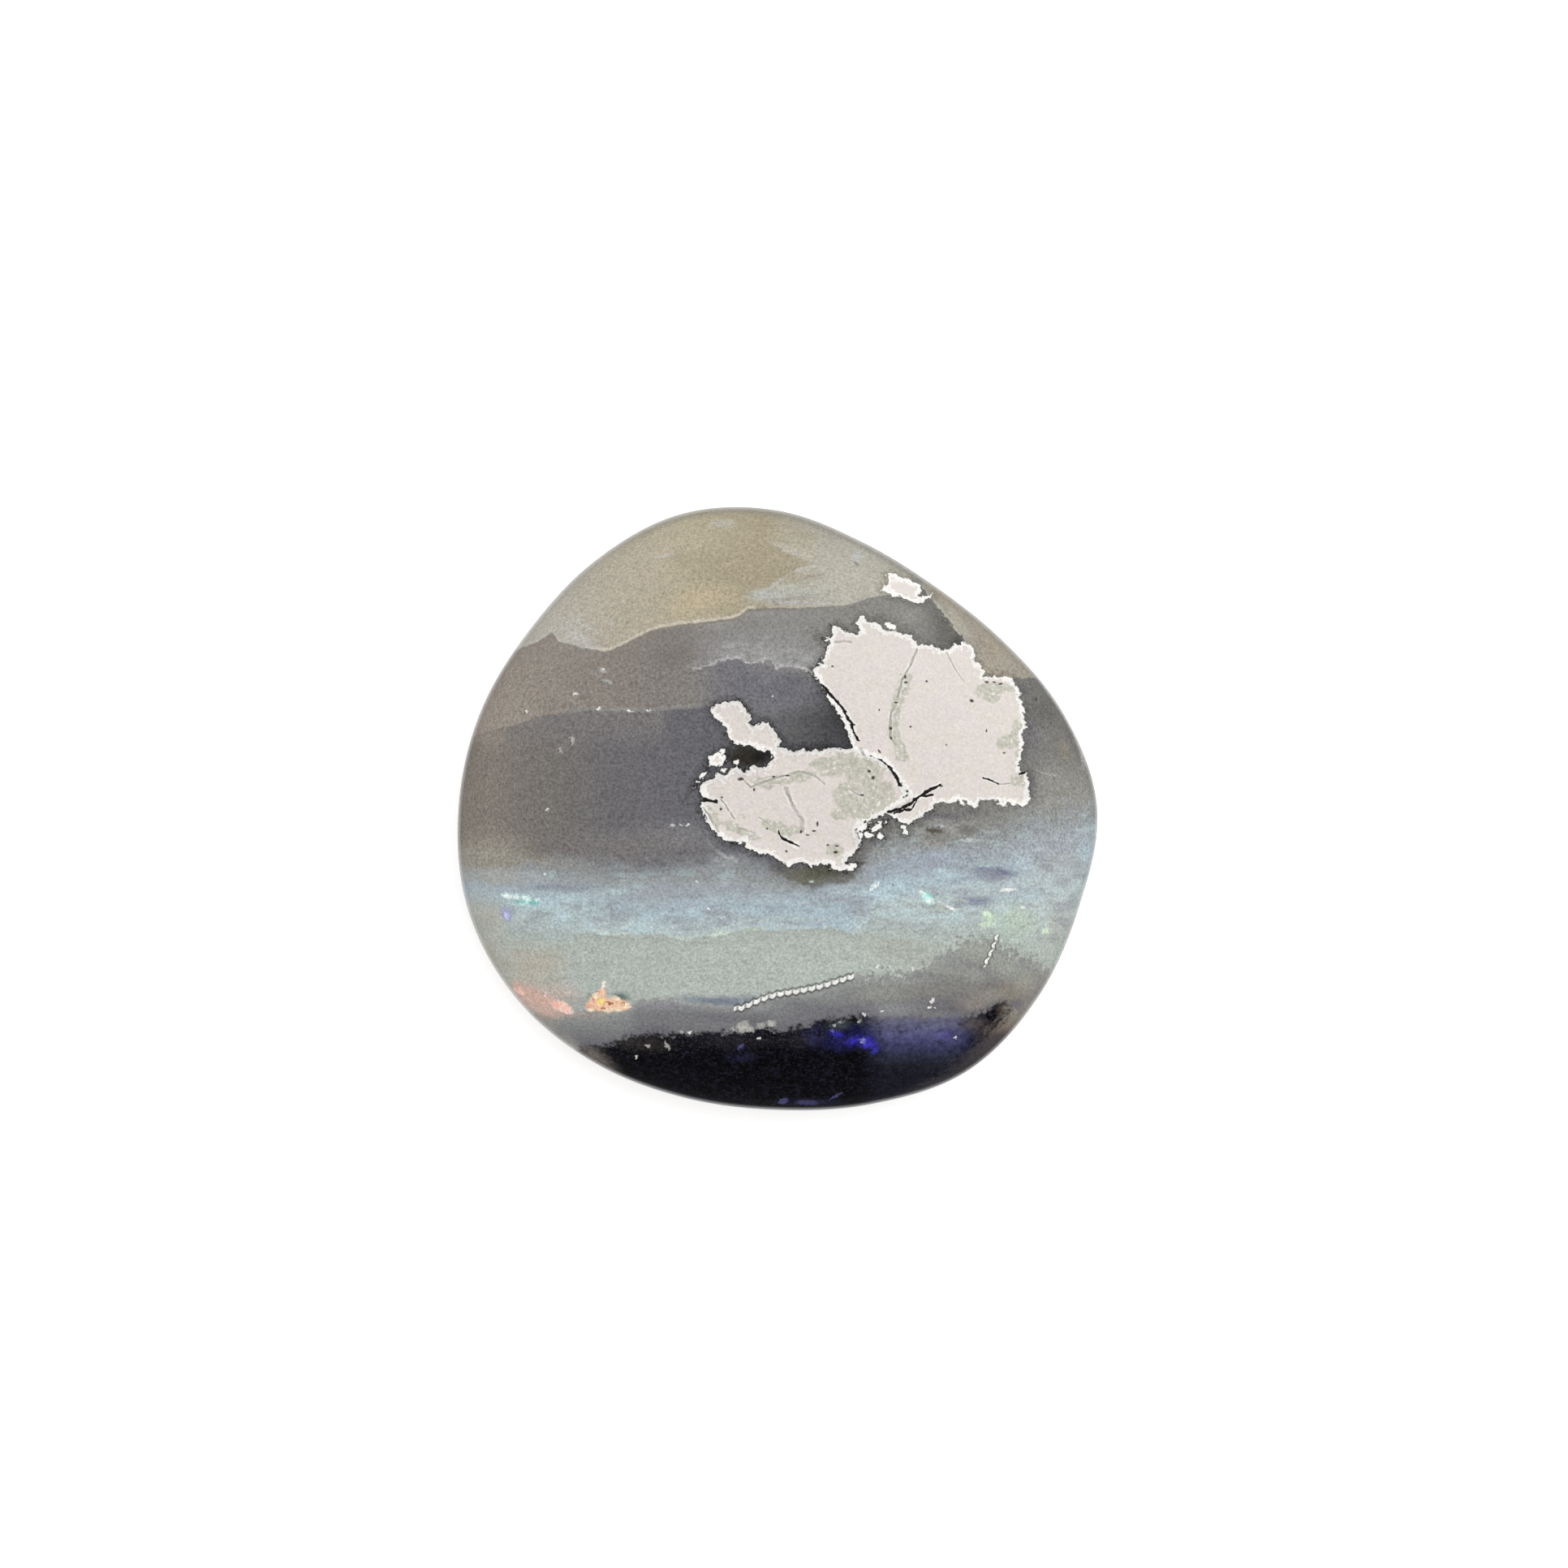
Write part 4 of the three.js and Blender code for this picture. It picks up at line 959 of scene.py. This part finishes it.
def from_lines(graph, place, table):
    """The same from the nearest of many lines."""
    return functools.reduce(lambda nearest, each: nearest & from_line(graph, place, *each), table,
                            from_line(graph, place, *table[0]))


def below(graph, place, seam):
    """How far a point is below a seam."""
    return graph.curve(place[0], seam) - place[1]


def brown_and_plum(graph, place):
    """The brown-grey layer over the plum one, with the violet veil and the ink pocket under its edge."""
    under_umber = below(graph, place.calm, UMBER_SEAM)
    under_veil = below(graph, place.torn, VEIL_SEAM)
    softness = place.x.rise(-1.8, -0.4) * 0.4 + 0.02
    brown = graph.ramp(place.x, BROWN_ACROSS)
    base = graph.blend(brown, graph.ramp(place.x, PLUM_ACROSS), under_umber.rise(-softness, softness))
    lit = under_umber.rise(-0.02, 0.03) * under_umber.rise(1, 0.2) * place.x.within(-5.5, -2.6, 0.4)
    base = graph.paint(base, "lit plum", lit * 0.8)
    pale_line = under_umber.within(-0.07, 0, 0.03) * place.x.within(-4.4, -1.6, 0.3) * 0.5
    base = graph.paint(base, "cloud", pale_line)
    base = glows(graph, place.soft, base, NORTH_EAST_GLOWS)
    pocket = glows(graph, place.soft, base, DUSK_GLOWS)
    base = graph.blend(base, pocket, under_veil.rise(-0.03, 0.03))
    over_pocket = place.x.within(-1.7, 0.9, 0.35)
    streaks = graph.noise(graph.stretched(place.point, (1.5, 4, 1)), 3, 4, 0.65)
    haze = under_veil.rise(0.02, -0.02) * under_veil.rise(-0.9, -0.3) * over_pocket
    base = graph.paint(base, "violet veil", haze * 0.5)
    veil = under_veil.rise(0.02, -0.02) * under_veil.rise(-0.5, -0.3) * place.x.within(-1, 1, 0.5)
    base = graph.paint(base, "pale ash", veil * (streaks * 4 + 0.4 & 1) * 0.75)
    hem = under_veil.within(-0.045, 0, 0.02) * over_pocket
    base = graph.paint(base, "hem light", hem * (graph.noise(place.point, 8) * 3 + 0.8 & 1))
    return [glows(graph, place.soft, base, PLUM_GLOWS)]


def north_east(graph, place):
    """An olive wedge past a slanting crack, down to a level seam."""
    x, y = place.torn
    across_x, across_y = CRACK_ACROSS
    past_crack = (x - CRACK_X) * across_x + (y - CRACK_Y) * across_y + y.rise(3.45, 2.9) * 0.4
    over_seam = y - WEDGE_SEAM
    wedge = glows(graph, place.torn, colour("wedge olive"), WEDGE_GLOWS)
    wedge = graph.paint(wedge, "dry olive", past_crack.rise(1.1, 1.7) * 0.6)
    crack = past_crack.within(-0.03, 0.03, 0.03)
    wedge = graph.paint(wedge, "dry olive", crack)
    return wedge, past_crack.rise(-0.03, 0) * over_seam.rise(-0.02, 0.02)


def east(graph, place):
    """The wedge right of the host rock, dark above and with a paler strip along the stone's edge."""
    wedge = glows(graph, place.soft, graph.ramp(place.y, EAST_DOWN), EAST_GLOWS)
    past_strip = place.calm[0] - graph.curve(place.y, EAST_STRIP)
    on_strip = past_strip.rise(-0.03, 0.03) * place.y.rise(0.7, 1.1) * place.z.rise(0.9, 1.7)
    wedge = graph.paint(wedge, "pale strip", on_strip)
    return wedge, place.torn[0].rise(5.2, 5.4) * place.torn[1].rise(2.85, 2.81) * place.y.rise(-0.6, 0.6)


def sky(graph, place):
    """The pale blue band, with clouds and fine level fibres, over the pale green one."""
    clouds = graph.noise(graph.stretched(place.point, (1.1, 2.6, 1)), 1.4, 5, 0.65)
    depth = below(graph, place.soft, SKY_SEAM) + clouds * 0.7
    base = glows(graph, place.soft, graph.ramp(depth, SKY_DEPTHS), SKY_GLOWS)
    cloudy = place.x.rise(-6, -4.8)
    base = graph.paint(base, "lavender grey", clouds.rise(0.01, 0.1) * cloudy * 0.6)
    base = graph.paint(base, "pale cyan", clouds.rise(-0.02, -0.15) * cloudy * 0.4)
    sea_depth = below(graph, place.torn, SEA_SEAM)
    sea = glows(graph, place.soft, graph.ramp(sea_depth, SEA_DEPTHS), SEA_GLOWS)
    hem = sea_depth.within(-0.08, 0, 0.04) * place.x.within(-4.2, 1.6, 0.8) * clouds.rise(0, 0.08) * 0.7
    base = graph.paint(base, "green white", hem)
    seam_softness = place.x.rise(1.5, 2.5) * 0.4 + place.x.rise(-4, -5) * 0.4 + 0.03
    base = graph.blend(base, sea, sea_depth.rise(-seam_softness, seam_softness))
    fibres = graph.noise(graph.stretched(place.point, (1.2, 9, 2)), 1, 4, 0.6)
    narrow = place.x.rise(-4.5, -5.5) | place.x.within(0.3, 1.7, 0.6)
    return graph.shaded(base, fibres * 0.2 - clouds * 0.15 + 1), (depth * (narrow * 2 + 1)).rise(-0.55, 0.05)


def slate(graph, place):
    """The slate-grey layer, with a thin teal line along its edge at the left."""
    ragged = graph.noise(place.point, 8, 3, 0.6) * (place.x.rise(1, 2.5) * 1.1 + 0.3)
    depth = below(graph, place.torn, SLATE_SEAM) + ragged
    base = glows(graph, place.soft, graph.ramp(depth, SLATE_DEPTHS), SLATE_GLOWS)
    edge = depth.within(-0.02, 0.01, 0.02) * place.x.within(-5.2, -3.3, 0.1)
    base = graph.paint(base, "teal", edge * 0.8)
    return base, depth.rise(-0.03, 0.05)


def black(graph, place):
    """The black layer at the foot, mottled with blue, toothed above and brown along its right edge."""
    mottle = graph.noise(place.point, 7, 4, 0.7)
    depth = below(graph, place.torn, BLACK_SEAM) + mottle * 0.5
    base = graph.paint(colour("black"), "night", mottle.rise(-0.05, 0.2) * 0.8)
    violet = place.torn[0].rise(1.7, 2.5) * place.torn[0].rise(4.6, 3.6)
    lit = graph.blend(base, graph.ramp(place.torn[1], VIOLET_DOWN), violet)
    lit = glows(graph, place.torn, lit, BLACK_GLOWS)
    patches = graph.noise(place.point, 5, 5, 0.75)
    base = graph.blend(base, lit, patches.rise(-0.16, -0.02) * 0.4 + 0.6)
    base = graph.shaded(base, mottle * 2 + patches * 0.8 + 1)
    dust = graph.noise(place.point, GRAINS_PER_MM, 2, 0.7).rise(0, 0.2)
    base = graph.paint(base, "dust", dust * (depth.rise(0.7, 0) * 0.5 + 0.2))
    past_edge = place.torn[0] - graph.curve(place.y, EAST_FOOT) + mottle * 0.8
    base = graph.blend(base, graph.ramp(place.y, EAST_FOOT_DOWN), past_edge.rise(-0.25, 0.25) * 0.9)
    return base, depth.rise(-0.06, 0.08)


def olive(graph, place):
    """The olive layer along the top, with a thin pale hem over its seam."""
    height = -below(graph, place.calm, OLIVE_SEAM)
    base = graph.ramp(place.x, OLIVE_ACROSS)
    under_top = below(graph, place.calm, FACET_TOP)
    over_foot = -below(graph, place.calm, FACET_FOOT)
    facet = under_top.rise(-0.02, 0.03) * over_foot.rise(-0.03, 0.05) * place.x.rise(-1.6, 0.3)
    base = graph.paint(base, "facet olive", facet * 0.7 * place.x.rise(0.88, 0.82))
    base = glows(graph, place.soft, base, OLIVE_GLOWS)
    near_rim = place.z.within(1.9, 2.35, 0.25) * place.x.rise(-4, -2.5)
    base = graph.paint(base, "rim olive", near_rim * 0.5)
    sharp = place.x.within(-4, -0.6, 0.2)
    veiled = height.rise(0.12, 0.03) * (place.x.rise(-3, -4.4) * 0.5 + 0.2)
    base = graph.paint(base, "pale veil", veiled)
    base = graph.paint(base, "hem olive", height.within(0.02, 0.06, 0.02) * sharp * 0.8)
    base = graph.paint(base, "seam line", height.rise(0.005, -0.01) * 0.6)
    under_line = height.within(-0.045, 0, 0.02) * place.x.rise(-5.3, -4.2) * place.x.rise(1.9, 1.6) * 0.8
    return base, (height.rise(-0.01, 0.01) | under_line) * place.x.rise(3.35, 3.3)


def flakes(graph, place, base):
    """Small bright flakes, streaks, specks and threads."""
    base = glows(graph, place.calm, base, STREAKS, 0.7)
    crumbled = graph.shaken(place.flat, graph.colour_noise(place.point, 14, 2), 0.14)
    base = glows(graph, crumbled, base, DABS, 0.5)
    for name, table in {"pale veil": GREY_SPECKS, "white": WHITE_SPECKS, "crack": DARK_SPECKS}.items():
        base = graph.paint(base, name, spots(graph, place.torn, table) * 0.8)
    for axis, points, half_width in THREADS:
        along, across = (place.x, place.y) if axis == "x" else (place.y, place.x)
        wave = graph.math("PINGPONG", along, THREAD_WAVE / 2) * THREAD_SWING + across
        track = (along, wave) if axis == "x" else (wave, along)
        beads = (graph.math("PINGPONG", along, THREAD_WAVE / 2) * (2 / THREAD_WAVE)).rise(0, 0.5)
        away = from_line(graph, track, axis, points, half_width)
        base = graph.paint(base, "shadow", away.rise(2.4, 1.2) * 0.7)
        base = graph.paint(base, "white", away.rise(1.3, 0.6) * (beads * 0.7 + 0.3))
    return [base]


def opal_colour(graph):
    """The opal's layers, from the top of the stone to its foot, and the flakes in them."""
    base, = grouped(graph, brown_and_plum)
    for layer in (north_east, olive, east, sky, slate, black):
        base = graph.blend(base, *grouped(graph, layer))
    return grouped(graph, flakes, base)[0]


def rock_reach(graph):
    """Signed distance to the host rock's outlines, negative inside them."""
    return Field(graph, graph.node("ShaderNodeAttribute", attribute_name="rock_distance").outputs["Fac"])


def rock_edge(graph, place):
    """Signed distance to the nearest host rock or chip of it, negative on it, with ragged edges."""
    edge = rock_reach(graph)
    for chip in ROCK_CHIPS:
        _, _, *radii, _ = chip
        edge = edge & (graph.ellipse(place.flat, chip) - 1) * min(radii)
    return edge + graph.noise(place.point, 9, 4, 0.65) * 0.28


def host_rock(graph, place):
    """Chalky white with stains, folds, cracks and small pits; a painted highlight makes it palest along its
    edges and lines its folds and cracks, the folds are painted shade, and a painted shadow lies round it,
    darker towards the lower left.
    """
    edge = rock_edge(graph, place)
    blotch = graph.noise(place.point, 3.2, 4, 0.6)
    speckle = graph.noise(place.point, 12, 3, 0.65)
    stained_bands = from_lines(graph, place.torn, STAINED_BANDS).rise(1.3, 0.5)
    stained = spots(graph, place.torn, STAINS, 0.6) | stained_bands
    ragged = stained + blotch * 1.2 + speckle * 0.8
    base = graph.paint(colour("pink chalk"), "chalk", blotch.rise(-0.1, 0.1))
    base = graph.paint(base, "stain", ragged.rise(0.2, 0.4))
    base = graph.paint(base, "khaki", ragged.rise(0.4, 0.55) * speckle.rise(0, 0.1) * 0.7)
    # White bits in the stains.
    base = graph.paint(base, "chalk white and painted highlight", ragged.rise(0.5, 0.6) * speckle.rise(-0.08, -0.16) * 0.8)
    # A painted highlight along the host rock's edge.
    base = graph.paint(base, "chalk white and painted highlight", (edge + blotch * 0.1).rise(-0.11, -0.05))
    # Along folds and cracks: pale flanks that are painted highlights, then painted shade in the folds and the
    # dark crack colour in the cracks.
    for name, table, strength in (("fold shade", SHADED_FOLDS, blotch * 2 + 0.55 & 0.7), ("crack", CRACKS, 1)):
        away = from_lines(graph, place.calm, table) + speckle * 3 + blotch * 2
        base = graph.paint(base, "chalk white and painted highlight", away.rise(3.6, 2) * (blotch * 3 + 0.5 & 1) * strength)
        base = graph.paint(base, name, away.rise(1.5, 0.9) * strength)
    base = graph.paint(base, "crack", spots(graph, place.calm, PITS) * 0.9)
    # A near-black painted shade just outside the host rock's edge.
    base = graph.paint(base, "outline", edge.rise(0, 0.015))
    # A painted shadow round the host rock: a thin dark line and a wider soft one, darker towards the lower
    # left.
    shaded_side = (place.x + place.y * 0.5).rise(4.5, 2.5) * 0.4 + 0.45
    outline = edge.rise(0.05, 0.03) * shaded_side | edge.rise(0.2, 0.03) * shaded_side * 0.45
    return base, edge.rise(0.012, -0.012), outline


# ---- The stone's material ----


def ironstone_colour(graph, place):
    """The rough brown rock that backs the opal."""
    patches = graph.noise(place.point, 0.8, 4, 0.6)
    grains = graph.noise(place.point, 6, 3, 0.6)
    dark = (patches + grains * 0.5).rise(-0.05, 0.15)
    base = graph.paint(colour("ironstone"), "dark ironstone", dark)
    return [graph.paint(base, "rust", (patches - grains * 0.4).rise(-0.08, -0.25) * 0.8)]


def stone_finish(graph, place, on_rock, on_back):
    """The roughness and the normal: polished opal, chalky host rock and a ground back."""
    chalky = graph.noise(place.point, 7, 5, 0.65)
    worn = graph.noise(place.point, 3, 4, 0.6)
    chalk_height = chalky * rock_reach(graph).rise(0.05, -0.05) * CHALK_GRAIN_HEIGHT
    bump = graph.node("ShaderNodeBump")
    graph.plug(bump.inputs["Distance"], MM)
    graph.plug(bump.inputs["Height"], chalk_height + worn * on_back * GROUND_HEIGHT)
    chalk_roughness = on_rock * (CHALK_ROUGHNESS - POLISH_ROUGHNESS)
    roughness = chalk_roughness | on_back * (GROUND_ROUGHNESS - POLISH_ROUGHNESS)
    return roughness + POLISH_ROUGHNESS, bump.outputs["Normal"]


def stone_material():
    """Opal in its layers, host rock over it with a painted shadow round it, and ironstone below, all with a
    fine grain.
    """
    material = bpy.data.materials.new("boulder_opal")
    material.use_nodes = True
    material.node_tree.nodes.clear()
    graph = Graph(material.node_tree)
    place = Places(graph)
    rock, on_rock, rock_shadow_ring = grouped(graph, host_rock)
    on_back = (place.z + graph.noise(place.point, 1.2, 4) * 0.7).rise(1.02, 0.98)
    # The host rock over the opal, with the painted shadow round it.
    base = graph.blend(opal_colour(graph), rock, on_rock | rock_shadow_ring)
    base = graph.blend(base, *grouped(graph, ironstone_colour), on_back)
    grain = graph.noise(place.point, GRAINS_PER_MM, 2, 0.7) * GRAIN
    mottle = graph.noise(place.point, MOTTLES_PER_MM, 3, 0.6) * MOTTLE
    lively = (place.y.within(-1, 2.9, 0.4) * 0.3 + 1) * (on_rock * -0.7 + 1)
    base = graph.shaded(base, (grain + mottle) * lively + 1)
    roughness, normal = stone_finish(graph, place, on_rock, on_back)
    shader = graph.node("ShaderNodeBsdfPrincipled")
    inputs = {"Base Color": base, "Roughness": roughness, "Normal": normal, "IOR": OPAL_IOR}
    for name, value in inputs.items():
        graph.plug(shader.inputs[name], value)
    output = graph.node("ShaderNodeOutputMaterial")
    graph.plug(output.inputs["Surface"], shader.outputs["BSDF"])
    return material


# ---- The studio ----


def make_floor():
    """A plain pale floor under the stone."""
    bpy.ops.mesh.primitive_circle_add(vertices=FLOOR_CORNERS, radius=FLOOR_RADIUS, fill_type="NGON")
    floor = bpy.context.object
    floor.name = "floor"
    material = bpy.data.materials.new("floor")
    material.use_nodes = True
    shader = material.node_tree.nodes["Principled BSDF"]
    shader.inputs["Base Color"].default_value = FLOOR_COLOUR
    shader.inputs["Roughness"].default_value = FLOOR_ROUGHNESS
    shader.inputs["Specular IOR Level"].default_value = 0
    shader.inputs["Emission Color"].default_value = WHITE
    shader.inputs["Emission Strength"].default_value = FLOOR_GLOW
    floor.data.materials.append(material)
    floor.visible_glossy = False
    return floor


def light_studio():
    """Even light from all round, dim in the polish's reflections, and a broad key light from above."""
    world = bpy.data.worlds.new("studio")
    world.use_nodes = True
    graph = Graph(world.node_tree)
    rays = graph.node("ShaderNodeLightPath")
    direction = graph.node("ShaderNodeTexCoord").outputs["Generated"]
    _, away, up = graph.parts(direction)
    low_glow = up.rise(-0.84, -0.97) * (REFLECTED_FLOOR - REFLECTED_SKY)
    horizon = up.within(-0.02, 0.25, 0.3) * away.rise(-0.4, 0.2) * (REFLECTED_HORIZON - REFLECTED_SKY)
    reflected = low_glow + horizon + REFLECTED_SKY
    camera_ray = Field(graph, rays.outputs["Is Camera Ray"])
    glossy_ray = Field(graph, rays.outputs["Is Glossy Ray"])
    strength = camera_ray * (1 - AMBIENT) + glossy_ray * (reflected - AMBIENT) + AMBIENT
    graph.plug(world.node_tree.nodes["Background"].inputs["Color"], WHITE)
    graph.plug(world.node_tree.nodes["Background"].inputs["Strength"], strength)
    bpy.context.scene.world = world
    key = bpy.data.objects.new("key", bpy.data.lights.new("key", "SUN"))
    key.data.energy = KEY_ENERGY
    key.data.angle = math.radians(KEY_ANGLE)
    key.rotation_euler = [math.radians(turn) for turn in KEY_TILT]
    key.visible_glossy = False
    bpy.context.scene.collection.objects.link(key)


def aim_camera():
    """Straight down at the stone, +Y up in the frame."""
    camera = bpy.data.objects.new("camera", bpy.data.cameras.new("camera"))
    camera.data.lens = LENS
    camera.data.sensor_width = SENSOR
    camera.data.clip_end = VIEW_REACH
    distance = FRAME_WIDTH * LENS / SENSOR
    camera.location = (FRAME_CENTRE[0] * MM, FRAME_CENTRE[1] * MM, (GIRDLE_HEIGHT + distance) * MM)
    bpy.context.scene.collection.objects.link(camera)
    bpy.context.scene.camera = camera


stone = make_skin()
stone.data.materials.append(stone_material())
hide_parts("boulder_opal")
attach(stone, "root")
make_floor()
light_studio()
aim_camera()
bpy.context.scene.view_settings.view_transform = "Standard"
bpy.context.scene.cycles.max_bounces = LIGHT_BOUNCES
bpy.context.scene.cycles.adaptive_threshold = NOISE_ALLOWED
